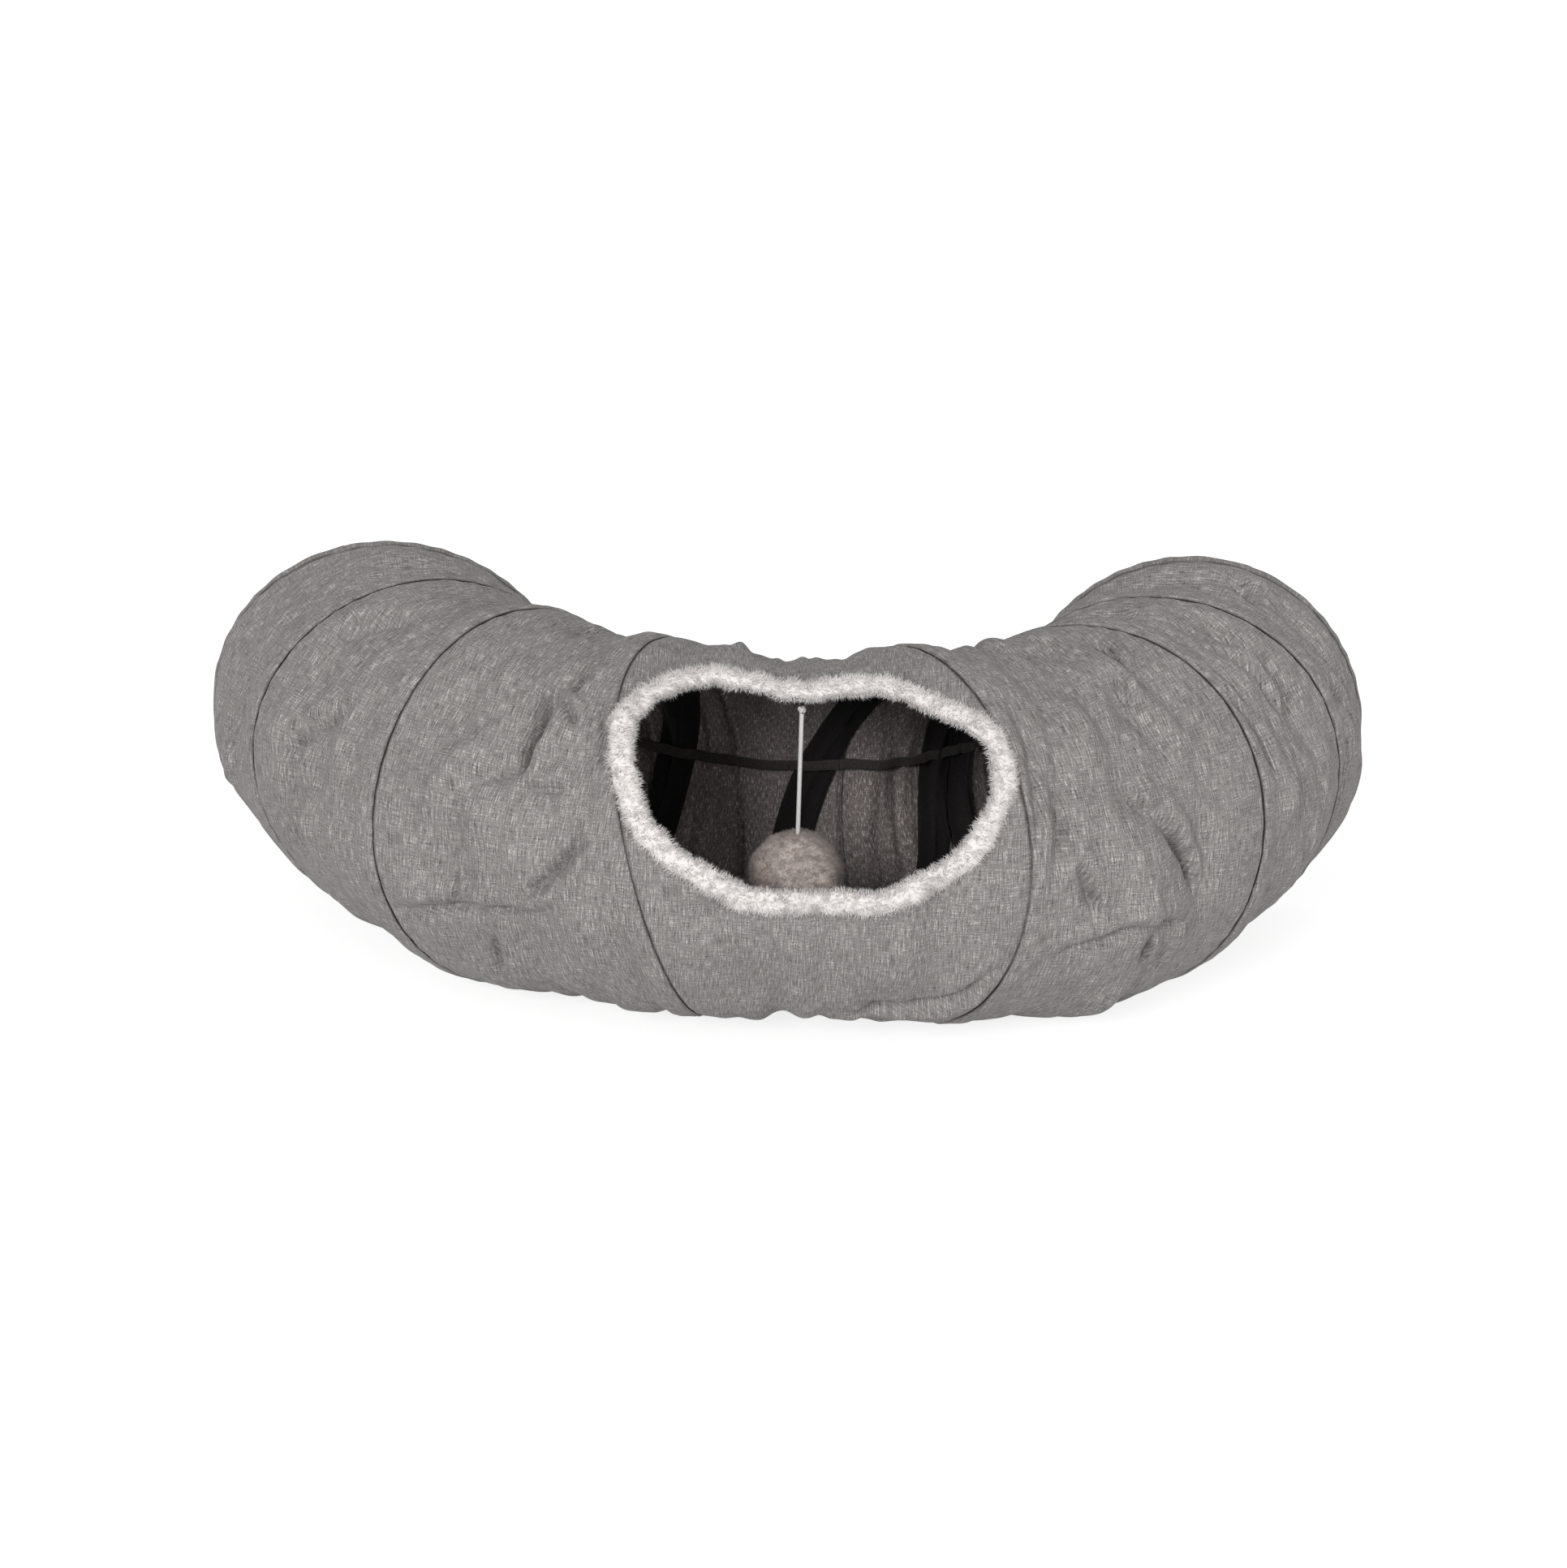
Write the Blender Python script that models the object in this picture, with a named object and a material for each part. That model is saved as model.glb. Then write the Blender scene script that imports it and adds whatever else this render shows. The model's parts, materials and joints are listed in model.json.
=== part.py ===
"""Cat tunnel: a half-moon cloth tube on one coiled spring wire, with a plush-edged side hole and a toy ball.

Metres, +Z up. The origin is on the floor under the middle of the tube, half way round the bend;
+X runs across the half-moon and -Y is its outer, rounded side, which has the side hole. A place on
the tube is given by its heading (degrees round the bend, 0 at the middle, plus to the right), by
its tube angle (degrees, 0 outward, 90 up, -90 on the floor) and by its depth under the outside of
the cloth.
"""
import math

import bmesh
import bpy
from mathutils import Vector

# Driving sizes of the tube
TUBE_RADIUS = 0.135
BEND_RADIUS = 0.305
CLOTH_THICKNESS = 0.0012
TOP_SAG = 0.007
SAG_HEIGHT_POWER = 1.5
HEM_WIDTH = 0.014

# Spring wire, its crimped sleeves and its casing tape
WIRE_DIAMETER = 0.0022
WIRE_END_SPACING = 0.0042
SLEEVE_LENGTH = 0.018
SLEEVE_WALL = 0.0005
TAPE_WIDTH = 0.030
TAPE_FRONT_WIDTH = 0.016
TAPE_CREST_WIDTH = 0.005
TAPE_THICKNESS = 0.0006

# Narrow strap that holds the bend
STRAP_WIDTH = 0.008
STRAP_THICKNESS = 0.0012

# Plush edge of the side hole
TRIM_WIDTH = 0.020
TRIM_THICKNESS = 0.012
HOLE_CUTTER_REACH = 0.020

# Toy ball and its elastic
BALL_RADIUS = 0.034
BALL_COVER = 0.003
BALL_MOUTH_RADIUS = 0.0028
CORD_DIAMETER = 0.003
CORD_LENGTH = 0.086
KNOT_RADIUS = 0.0035
TAB_WIDTH = 0.012
TAB_THICKNESS = 0.0024
TAB_HEIGHT = 0.008

# Clearances
SEAT_GAP = 0.0003
LAYER_GAP = 0.0004
TAPE_FOOT_GAP = 0.0010

# Angles, degrees: heading at the middle, lean with height, turn towards the outer side
SEAMS = {
    "left_mouth": (-83.5, 0.0, 0.0),
    "left_outer": (-59.0, -3.0, -1.0),
    "left_inner": (-38.0, -3.5, -1.5),
    "hole_left": (-12.6, -5.0, 0.0),
    "hole_right": (16.8, 1.5, 4.6),
    "right_inner": (44.0, -1.0, 4.5),
    "right_outer": (61.5, -1.0, 4.0),
    "right_mouth": (82.5, 0.0, -0.5),
}
RINGS = list(SEAMS)
PANELS = ["left_mouth_panel", "left_outer_panel", "left_inner_panel", "center_panel",
          "right_inner_panel", "right_outer_panel", "right_mouth_panel"]

# How far each pass of the wire up the inner wall has moved on, at the two tube angles below
PASS_ANGLES = (-160.0, -220.0)
PASS_SHARES = {
    "left_outer": (0.33, 0.72),
    "left_inner": (0.33, 0.72),
    "hole_left": (0.16, 0.70),
    "hole_right": (0.52, 1.12),
    "right_inner": (0.84, 0.95),
    "right_outer": (0.36, 0.72),
    "right_mouth": (0.36, 0.72),
}
HOLE_HEADING = 3.0
HOLE_TUBE_ANGLE = 37.5
HOLE_HALF_HEADING = 16.4
HOLE_HALF_TUBE_ANGLE = 36.5
HOLE_SQUARENESS = 2.3
CORD_HEADING = 1.1

# Facets
STATIONS = 32
PANEL_STEPS = 4
CENTER_STEPS = 8
TAPE_HEM_STATIONS = 6
TRIM_STEPS = 48
TRIM_SIDES = 10
BALL_STEPS = 20
BALL_ROWS = 10
CORD_STEPS = 8
CORD_BEVEL_STEPS = 2
WIRE_BEVEL_STEPS = 1
SLEEVE_END_STEPS = 4
GAP_SPOTS = 4
SHARP_ANGLE = 40.0

STATION_ANGLE = 360.0 / STATIONS
AXIS_HEIGHT = TUBE_RADIUS * math.cos(math.radians(STATION_ANGLE / 2))
WIRE_DEPTH = CLOTH_THICKNESS + LAYER_GAP + WIRE_DIAMETER / 2
TAPE_FOOT_DEPTH = CLOTH_THICKNESS + TAPE_FOOT_GAP
TAPE_CREST_RISE = WIRE_DIAMETER / 2 + LAYER_GAP
STRAP_DEPTH = WIRE_DEPTH + TAPE_CREST_RISE + TAPE_THICKNESS + LAYER_GAP
SLEEVE_HEIGHT = WIRE_DIAMETER + 2 * (SEAT_GAP + SLEEVE_WALL)
HEM_ROOM = SLEEVE_HEIGHT + 2 * SEAT_GAP
HEM_DEPTH = 2 * CLOTH_THICKNESS + HEM_ROOM
HOOP_DEPTH = HEM_DEPTH / 2
FILLING_RADIUS = BALL_RADIUS - BALL_COVER - SEAT_GAP


def sin_deg(angle):
    return math.sin(math.radians(angle))


def cos_deg(angle):
    return math.cos(math.radians(angle))


def mix(a, b, share):
    return a + (b - a) * share


def station(index):
    """Tube angle of a station; they run from the top down the outer side and back up the inner side."""
    return 90.0 - STATION_ANGLE * (index + 0.5)


def turning_radius(tube_angle):
    """Distance from the middle of the bend to the cloth at a tube angle."""
    return BEND_RADIUS + TUBE_RADIUS * cos_deg(tube_angle)


def seam_heading(ring, tube_angle):
    middle, lean, turn = SEAMS[ring]
    return middle + lean * sin_deg(tube_angle) + turn * cos_deg(tube_angle)


def along_heading(length, tube_angle):
    """Degrees of heading that a length takes at a tube angle."""
    return math.degrees(length / turning_radius(tube_angle))


def panel_edges(panel, tube_angle):
    """Headings of a panel's two seams; the mouth panels start behind their hems."""
    index = PANELS.index(panel)
    first = seam_heading(RINGS[index], tube_angle)
    last = seam_heading(RINGS[index + 1], tube_angle)
    if index == 0:
        first += along_heading(HEM_WIDTH, tube_angle)
    if index == len(PANELS) - 1:
        last -= along_heading(HEM_WIDTH, tube_angle)
    return first, last


def sag(share, tube_angle):
    """The cloth hangs in between two rings, most at the top and not at all on the floor."""
    height_share = (1 + sin_deg(tube_angle)) / 2
    return TOP_SAG * height_share ** SAG_HEIGHT_POWER * math.sin(math.pi * share) ** 2


def wall(heading, tube_angle, depth):
    """Point on the tube at a depth under the outside of the cloth."""
    drop = depth
    for panel in PANELS:
        first, last = panel_edges(panel, tube_angle)
        if first < heading < last:
            drop += sag((heading - first) / (last - first), tube_angle)
    radius = TUBE_RADIUS - drop
    reach = BEND_RADIUS + radius * cos_deg(tube_angle)
    return Vector((reach * sin_deg(heading), BEND_RADIUS - reach * cos_deg(heading),
                   AXIS_HEIGHT + radius * sin_deg(tube_angle)))


def panel_steps(panel):
    return CENTER_STEPS if panel == "center_panel" else PANEL_STEPS


def faceted_wall(heading, tube_angle, depth):
    """Point on the faceted cloth at a station: straight between the two panel rows beside it."""
    for panel in PANELS:
        first, last = panel_edges(panel, tube_angle)
        if first <= heading <= last:
            steps = panel_steps(panel)
            place = (heading - first) / (last - first) * steps
            row = min(int(place), steps - 1)
            before = wall(mix(first, last, row / steps), tube_angle, depth)
            after = wall(mix(first, last, (row + 1) / steps), tube_angle, depth)
            return before.lerp(after, place - row)
    return wall(heading, tube_angle, depth)


STRAP_STATIONS = (station(STATIONS * 3 // 4 - 1), station(STATIONS * 3 // 4))


# Building helpers

def clear_scene():
    for thing in list(bpy.data.objects):
        bpy.data.objects.remove(thing, do_unlink=True)


def material(name, colour, roughness, metallic=0.0):
    made = bpy.data.materials.new(name)
    made.use_nodes = True
    shader = made.node_tree.nodes["Principled BSDF"]
    shader.inputs["Base Color"].default_value = (*colour, 1.0)
    shader.inputs["Roughness"].default_value = roughness
    shader.inputs["Metallic"].default_value = metallic
    return made


def add_object(name, mesh, look, parent, origin=None):
    """Links a mesh as an object whose origin is at a point, such as its joint."""
    if origin is not None:
        for vertex in mesh.vertices:
            vertex.co -= origin
    thing = bpy.data.objects.new(name, mesh)
    bpy.context.scene.collection.objects.link(thing)
    if origin is not None:
        thing.location = origin
    if look is not None:
        mesh.materials.append(look)
    if parent is not None:
        thing.parent = parent
        thing.matrix_parent_inverse = parent.matrix_world.inverted()
    return thing


def mesh_from(name, points, faces, smooth=True):
    """Mesh with its faces turned outward; flat where it creases."""
    shape = bmesh.new()
    corners = [shape.verts.new(point) for point in points]
    for face in faces:
        shape.faces.new([corners[index] for index in face])
    bmesh.ops.recalc_face_normals(shape, faces=shape.faces)
    mesh = bpy.data.meshes.new(name)
    shape.to_mesh(mesh)
    shape.free()
    if smooth:
        mesh.shade_smooth()
        mesh.set_sharp_from_angle(angle=math.radians(SHARP_ANGLE))
    return mesh


def sweep(name, sections, closed_path):
    """Skins a row of equal closed outlines; an open row gets an end cap at each end."""
    sides = len(sections[0])
    points = [point for section in sections for point in section]
    faces = []
    spans = len(sections) if closed_path else len(sections) - 1
    for span in range(spans):
        here = span * sides
        there = (span + 1) % len(sections) * sides
        for side in range(sides):
            beside = (side + 1) % sides
            faces.append((here + side, here + beside, there + beside, there + side))
    if not closed_path:
        faces.append(tuple(range(sides)))
        faces.append(tuple(range(len(points) - sides, len(points))))
    return mesh_from(name, points, faces)


def lathe(name, profile, center):
    """Turns (radius, height) points about the vertical through a point; radius 0 is a pole."""
    points = []
    rows = []
    for radius, height in profile:
        if radius == 0:
            rows.append([len(points)] * BALL_STEPS)
            points.append(center + Vector((0, 0, height)))
            continue
        row = []
        for step in range(BALL_STEPS):
            angle = 2 * math.pi * step / BALL_STEPS
            row.append(len(points))
            points.append(center + Vector((radius * math.cos(angle), radius * math.sin(angle), height)))
        rows.append(row)
    faces = []
    for lower, upper in zip(rows[:-1], rows[1:]):
        for step in range(BALL_STEPS):
            beside = (step + 1) % BALL_STEPS
            corners = [lower[step], lower[beside], upper[beside], upper[step]]
            face = tuple(dict.fromkeys(corners))
            if len(face) > 2:
                faces.append(face)
    return mesh_from(name, points, faces)


def tube_curve(name, points, diameter, look, parent, bevel_resolution):
    """Round tube along straight runs between points, with filled ends."""
    curve = bpy.data.curves.new(name, "CURVE")
    curve.dimensions = "3D"
    curve.bevel_depth = diameter / 2
    curve.bevel_resolution = bevel_resolution
    curve.use_fill_caps = True
    line = curve.splines.new("POLY")
    line.points.add(len(points) - 1)
    for spot, point in zip(line.points, points):
        spot.co = (*point, 1.0)
    curve.materials.append(look)
    thing = bpy.data.objects.new(name, curve)
    bpy.context.scene.collection.objects.link(thing)
    if parent is not None:
        thing.parent = parent
        thing.matrix_parent_inverse = parent.matrix_world.inverted()
    return thing


def add_empty(name, point, parent=None):
    pivot = bpy.data.objects.new(name, None)
    bpy.context.scene.collection.objects.link(pivot)
    pivot.location = point
    bpy.context.view_layer.update()
    if parent is not None:
        pivot.parent = parent
        pivot.matrix_parent_inverse = parent.matrix_world.inverted()
        bpy.context.view_layer.update()
    return pivot


def cut(target, cutter):
    modifier = target.modifiers.new("cut_" + cutter.name, "BOOLEAN")
    modifier.operation = "DIFFERENCE"
    modifier.solver = "EXACT"
    modifier.object = cutter


def make_cutter(name, mesh):
    cutter = add_object(name, mesh, None, None)
    cutter.hide_render = True
    cutter.display_type = "WIRE"
    return cutter


# Cloth sections and hems

def panel_outline(panel, index):
    """Closed outline of a panel's cloth at one station: outside there, inside back."""
    tube_angle = station(index)
    first, last = panel_edges(panel, tube_angle)
    inset = along_heading(SEAT_GAP / 2, tube_angle)
    steps = panel_steps(panel)
    headings = [mix(first, last, step / steps) for step in range(steps + 1)]
    outside = [wall(heading, tube_angle, 0) for heading in headings]
    inside = [wall(heading, tube_angle, CLOTH_THICKNESS) for heading in headings]
    outside[0] = wall(first + inset, tube_angle, 0)
    inside[0] = wall(first + inset, tube_angle, CLOTH_THICKNESS)
    outside[-1] = wall(last - inset, tube_angle, 0)
    inside[-1] = wall(last - inset, tube_angle, CLOTH_THICKNESS)
    return outside + inside[::-1]


def make_panel(panel, look, parent):
    outlines = [panel_outline(panel, index) for index in range(STATIONS)]
    return add_object(panel, sweep(panel, outlines, True), look, parent)


def hem_outline(ring, index):
    """Hem folded over the end hoop: a channel open towards the panel."""
    tube_angle = station(index)
    edge = seam_heading(ring, tube_angle)
    inward = 1 if edge < 0 else -1
    inset = along_heading(SEAT_GAP / 2, tube_angle)
    fold = along_heading(CLOTH_THICKNESS, tube_angle)
    width = along_heading(HEM_WIDTH, tube_angle) - inset
    shape = [
        (0, 0),
        (width, 0),
        (width, CLOTH_THICKNESS),
        (fold, CLOTH_THICKNESS),
        (fold, HEM_DEPTH - CLOTH_THICKNESS),
        (width, HEM_DEPTH - CLOTH_THICKNESS),
        (width, HEM_DEPTH),
        (0, HEM_DEPTH),
    ]
    return [wall(edge + inward * across, tube_angle, depth) for across, depth in shape]


def make_hem(name, ring, look, parent):
    outlines = [hem_outline(ring, index) for index in range(STATIONS)]
    return add_object(name, sweep(name, outlines, True), look, parent)


# Spring wire: one wire, a closed hoop in each hem and one turn for each seam between them

def pass_share(ring, tube_angle):
    """How far the wire has moved on to a ring while it climbs the inner wall."""
    low = station(STATIONS // 2)
    high = station(STATIONS - 1)
    climb = (tube_angle - low) / (high - low)
    spots = [0.0] + [(angle - low) / (high - low) for angle in PASS_ANGLES] + [1.0]
    shares = [0.0, *PASS_SHARES[ring], 1.0]
    slopes = [0.0]
    for middle in (1, 2):
        slopes.append((shares[middle + 1] - shares[middle - 1]) / (spots[middle + 1] - spots[middle - 1]))
    slopes.append(0.0)
    for spot in range(3):
        if climb <= spots[spot + 1] or spot == 2:
            width = spots[spot + 1] - spots[spot]
            t = (climb - spots[spot]) / width
            return ((1 + 2 * t) * (1 - t) ** 2 * shares[spot] + t * (1 - t) ** 2 * width * slopes[spot]
                    + t * t * (3 - 2 * t) * shares[spot + 1] + t * t * (t - 1) * width * slopes[spot + 1])


def hoop_heading(ring, tube_angle, side_step):
    """Heading of an end hoop in the middle of its hem; side_step parts the two wire ends."""
    edge = seam_heading(ring, tube_angle)
    inward = 1 if edge < 0 else -1
    offset = HEM_WIDTH / 2 + side_step
    return edge + inward * along_heading(offset, tube_angle)


def ring_heading(ring, tube_angle):
    if ring in (RINGS[0], RINGS[-1]):
        return hoop_heading(ring, tube_angle, WIRE_END_SPACING / 2)
    return seam_heading(ring, tube_angle)


def ring_depth(ring):
    return HOOP_DEPTH if ring in (RINGS[0], RINGS[-1]) else WIRE_DEPTH


def turn_spots(number):
    """Bend points of the turn that climbs the inner wall to the next ring and runs down its front."""
    before = RINGS[number - 1]
    after = RINGS[number]
    half = STATIONS // 2
    spots = []
    for index in range(half, 2 * half):
        tube_angle = station(index)
        share = pass_share(after, tube_angle)
        heading = mix(ring_heading(before, tube_angle), ring_heading(after, tube_angle), share)
        spots.append((heading, index, mix(ring_depth(before), ring_depth(after), share)))
    for index in range(half):
        spots.append((ring_heading(after, station(index)), index, ring_depth(after)))
    return spots


def closing_spots(ring, first_step, start, end):
    """Bend points of an end hoop's closed turn, whose ends lie side by side on the floor."""
    half = STATIONS // 2
    spots = []
    for step in range(first_step, STATIONS + 1 + first_step):
        index = (half - 1 + step) % STATIONS
        side_step = mix(start, end, min(1, max(0, step - 1) / (half - 1)))
        spots.append((hoop_heading(ring, station(index), side_step), index, HOOP_DEPTH))
    return spots


def wire_spots():
    """(heading, station, depth) of every bend point of the wire, from the left end to the right end."""
    apart = WIRE_END_SPACING / 2
    spots = closing_spots(RINGS[0], 0, -apart, apart)
    for number in range(1, len(RINGS)):
        spots += turn_spots(number)
    return spots + closing_spots(RINGS[-1], 1, apart, -apart)


def segment_gap(a, b, c, d):
    """Least distance between two straight runs, read at spots along them."""
    best = math.inf
    for i in range(GAP_SPOTS + 1):
        for j in range(GAP_SPOTS + 1):
            best = min(best, (a.lerp(b, i / GAP_SPOTS) - c.lerp(d, j / GAP_SPOTS)).length)
    return best


def least_gap_to_itself(points):
    gap = math.inf
    near = STATIONS // 2
    for first in range(len(points) - 1):
        for second in range(first + near, len(points) - 1):
            if (points[first] - points[second]).length > 2 * TAPE_WIDTH:
                continue
            gap = min(gap, segment_gap(points[first], points[first + 1], points[second], points[second + 1]))
    return gap - WIRE_DIAMETER


def make_wire(look, parent):
    points = [faceted_wall(heading, station(index), depth) for heading, index, depth in wire_spots()]
    print("spring wire: least gap to itself %.2f mm" % (1000 * least_gap_to_itself(points)))
    return tube_curve("spring_wire", points, WIRE_DIAMETER, look, parent, WIRE_BEVEL_STEPS)


def sleeve_outline(center, across, up, grow):
    """Flat oval round the two wire ends."""
    half_height = WIRE_DIAMETER / 2 + SEAT_GAP + grow
    half_straight = WIRE_END_SPACING / 2
    outline = []
    for end in (1, -1):
        for step in range(SLEEVE_END_STEPS + 1):
            angle = math.radians(180 * step / SLEEVE_END_STEPS - 90)
            side = end * (half_straight + half_height * math.cos(angle))
            height = end * half_height * math.sin(angle)
            outline.append(center + across * side + up * height)
    return outline


def make_sleeve(name, ring, look, parent):
    """Short crimped sleeve on the straight run at the floor, where the wire's end meets its hoop."""
    half = STATIONS // 2
    ends = []
    for index in (half - 1, half):
        ends.append(wall(hoop_heading(ring, station(index), 0), station(index), HOOP_DEPTH))
    middle = ends[0].lerp(ends[1], 0.5)
    along = (ends[1] - ends[0]).normalized()
    up = Vector((0, 0, 1))
    across = along.cross(up)
    sections = []
    for grow, end in ((SLEEVE_WALL, -1), (SLEEVE_WALL, 1), (0, 1), (0, -1)):
        sections.append(sleeve_outline(middle + along * (end * SLEEVE_LENGTH / 2), across, up, grow))
    return add_object(name, sweep(name, sections, True), look, parent)


# Casing tape over each turn of the wire, wide on the inner wall and narrow at the outer seams

def tape_outline(heading, index, wire_depth):
    tube_angle = station(index)
    inner_share = (1 - cos_deg(tube_angle)) / 2
    half_width = mix(TAPE_FRONT_WIDTH, TAPE_WIDTH, inner_share) / 2
    half_crest = TAPE_CREST_WIDTH / 2
    crest_depth = wire_depth + TAPE_CREST_RISE
    shape = [(-half_width, TAPE_FOOT_DEPTH), (-half_crest, crest_depth),
             (half_crest, crest_depth), (half_width, TAPE_FOOT_DEPTH)]
    near = []
    far = []
    for across, depth in shape:
        place = heading + along_heading(across, tube_angle)
        near.append(faceted_wall(place, tube_angle, depth))
        far.append(faceted_wall(place, tube_angle, depth + TAPE_THICKNESS))
    return near + far[::-1]


def floor_outline(ring, side):
    """Section half way along the flat run on the floor, where two lengths of tape meet end to end."""
    half = STATIONS // 2
    low = [tape_outline(ring_heading(ring, station(index)), index, ring_depth(ring))
           for index in (half - 1, half)]
    run = (low[1][0] - low[0][0]).length
    share = 0.5 + side * SEAT_GAP / 2 / run
    return [before.lerp(after, share) for before, after in zip(*low)]


def make_tape(name, number, look, parent):
    """Tape of one turn: up the inner wall, over the top and down the outer side to the floor."""
    spots = turn_spots(number)
    first = number == 1
    last = number == len(RINGS) - 1
    if first:
        spots = spots[TAPE_HEM_STATIONS:]
    if last:
        spots = spots[:STATIONS // 2 - TAPE_HEM_STATIONS]
    outlines = [tape_outline(*spot) for spot in spots]
    if not first:
        outlines.insert(0, floor_outline(RINGS[number - 1], 1))
    if not last:
        outlines.append(floor_outline(RINGS[number], -1))
    return add_object(name, sweep(name, outlines, False), look, parent)


def strap_section(below, above):
    """Upright section of the strap, between two places on the innermost facet."""
    section = []
    for depth, side in ((0, 1), (0, -1), (STRAP_THICKNESS, -1), (STRAP_THICKNESS, 1)):
        lower = faceted_wall(below, STRAP_STATIONS[0], STRAP_DEPTH + depth)
        upper = faceted_wall(above, STRAP_STATIONS[1], STRAP_DEPTH + depth)
        section.append(lower.lerp(upper, 0.5) + Vector((0, 0, side * STRAP_WIDTH / 2)))
    return section


def make_strap(look, parent):
    """Strap along the innermost line of the inner wall, over the tapes."""
    sections = []
    for panel in PANELS[1:-1]:
        lower = panel_edges(panel, STRAP_STATIONS[0])
        upper = panel_edges(panel, STRAP_STATIONS[1])
        steps = panel_steps(panel)
        for row in range(steps):
            sections.append(strap_section(mix(*lower, row / steps), mix(*upper, row / steps)))
    sections.append(strap_section(lower[1], upper[1]))
    return add_object("bend_strap", sweep("bend_strap", sections, False), look, parent)


# Side hole: its plush edge and the two cutters

def hole_place(share):
    """(heading, tube angle) on the hole's middle line, a share of the way round it."""
    angle = 2 * math.pi * share
    power = 2 / HOLE_SQUARENESS
    side = math.copysign(abs(math.cos(angle)) ** power, math.cos(angle))
    rise = math.copysign(abs(math.sin(angle)) ** power, math.sin(angle))
    return HOLE_HEADING + HOLE_HALF_HEADING * side, HOLE_TUBE_ANGLE + HOLE_HALF_TUBE_ANGLE * rise


def trim_outline(step, grow):
    """Oval section of the plush edge, square to its path and flat on the cloth."""
    here = wall(*hole_place(step / TRIM_STEPS), CLOTH_THICKNESS / 2)
    ahead = wall(*hole_place((step + 0.5) / TRIM_STEPS), CLOTH_THICKNESS / 2)
    behind = wall(*hole_place((step - 0.5) / TRIM_STEPS), CLOTH_THICKNESS / 2)
    along = (ahead - behind).normalized()
    outward = (wall(*hole_place(step / TRIM_STEPS), -CLOTH_THICKNESS) - here).normalized()
    across = along.cross(outward).normalized()
    outward = across.cross(along).normalized()
    outline = []
    for side in range(TRIM_SIDES):
        angle = 2 * math.pi * side / TRIM_SIDES
        outline.append(here + across * ((TRIM_WIDTH / 2 + grow) * math.cos(angle))
                       + outward * ((TRIM_THICKNESS / 2 + grow) * math.sin(angle)))
    return outline


def trim_mesh(name, grow):
    return sweep(name, [trim_outline(step, grow) for step in range(TRIM_STEPS)], True)


def hole_cutter_mesh(name):
    """Plug through the outer wall along the hole's middle line."""
    outer = [wall(*hole_place(step / TRIM_STEPS), -HOLE_CUTTER_REACH) for step in range(TRIM_STEPS)]
    inner = [wall(*hole_place(step / TRIM_STEPS), HOLE_CUTTER_REACH) for step in range(TRIM_STEPS)]
    points = outer + inner
    points.append(wall(HOLE_HEADING, HOLE_TUBE_ANGLE, -HOLE_CUTTER_REACH))
    points.append(wall(HOLE_HEADING, HOLE_TUBE_ANGLE, HOLE_CUTTER_REACH))
    faces = []
    for step in range(TRIM_STEPS):
        beside = (step + 1) % TRIM_STEPS
        faces.append((step, beside, TRIM_STEPS + beside, TRIM_STEPS + step))
        faces.append((step, beside, 2 * TRIM_STEPS))
        faces.append((TRIM_STEPS + step, TRIM_STEPS + beside, 2 * TRIM_STEPS + 1))
    return mesh_from(name, points, faces)


# Toy ball on its elastic

def cord_top():
    """Middle of the knot, under the plush edge at the top of the hole."""
    edge = wall(CORD_HEADING, HOLE_TUBE_ANGLE + HOLE_HALF_TUBE_ANGLE, CLOTH_THICKNESS / 2)
    drop = TRIM_THICKNESS / 2 + SEAT_GAP + TAB_HEIGHT + SEAT_GAP + KNOT_RADIUS
    return edge - Vector((0, 0, drop))


def arc_profile(radius, start, end, rows):
    """(radius, height) points of a half circle, from one polar angle to another."""
    return [(radius * math.sin(mix(start, end, row / rows)), radius * math.cos(mix(start, end, row / rows)))
            for row in range(rows + 1)]


def make_ball(looks, parent, top):
    center = top - Vector((0, 0, KNOT_RADIUS + SEAT_GAP + CORD_LENGTH + SEAT_GAP + FILLING_RADIUS))
    outer_start = math.asin(BALL_MOUTH_RADIUS / BALL_RADIUS)
    inner_radius = BALL_RADIUS - BALL_COVER
    inner_start = math.asin(BALL_MOUTH_RADIUS / inner_radius)
    outside = arc_profile(BALL_RADIUS, outer_start, math.pi, BALL_ROWS)[:-1] + [(0, -BALL_RADIUS)]
    inside = arc_profile(inner_radius, inner_start, math.pi, BALL_ROWS)[:-1] + [(0, -inner_radius)]
    cover = lathe("ball_cover", inside[::-1] + outside, center)
    add_object("ball_cover", cover, looks["ball"], parent, center)
    solid = [(0, FILLING_RADIUS)] + arc_profile(FILLING_RADIUS, 0, math.pi, BALL_ROWS)[1:-1]
    solid.append((0, -FILLING_RADIUS))
    add_object("ball_filling", lathe("ball_filling", solid, center), looks["filling"], parent, center)


def make_tab(look, parent, top):
    """Sewn tab that the elastic is tied to."""
    half = Vector((TAB_WIDTH / 2, TAB_THICKNESS / 2, 0))
    low = top + Vector((0, 0, KNOT_RADIUS + SEAT_GAP))
    points = []
    for height in (0, TAB_HEIGHT):
        for side, front in ((-1, -1), (1, -1), (1, 1), (-1, 1)):
            points.append(low + Vector((side * half.x, front * half.y, height)))
    faces = [(0, 1, 2, 3), (4, 5, 6, 7), (0, 1, 5, 4), (1, 2, 6, 5), (2, 3, 7, 6), (3, 0, 4, 7)]
    return add_object("cord_tab", mesh_from("cord_tab", points, faces, smooth=False), look, parent)


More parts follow.
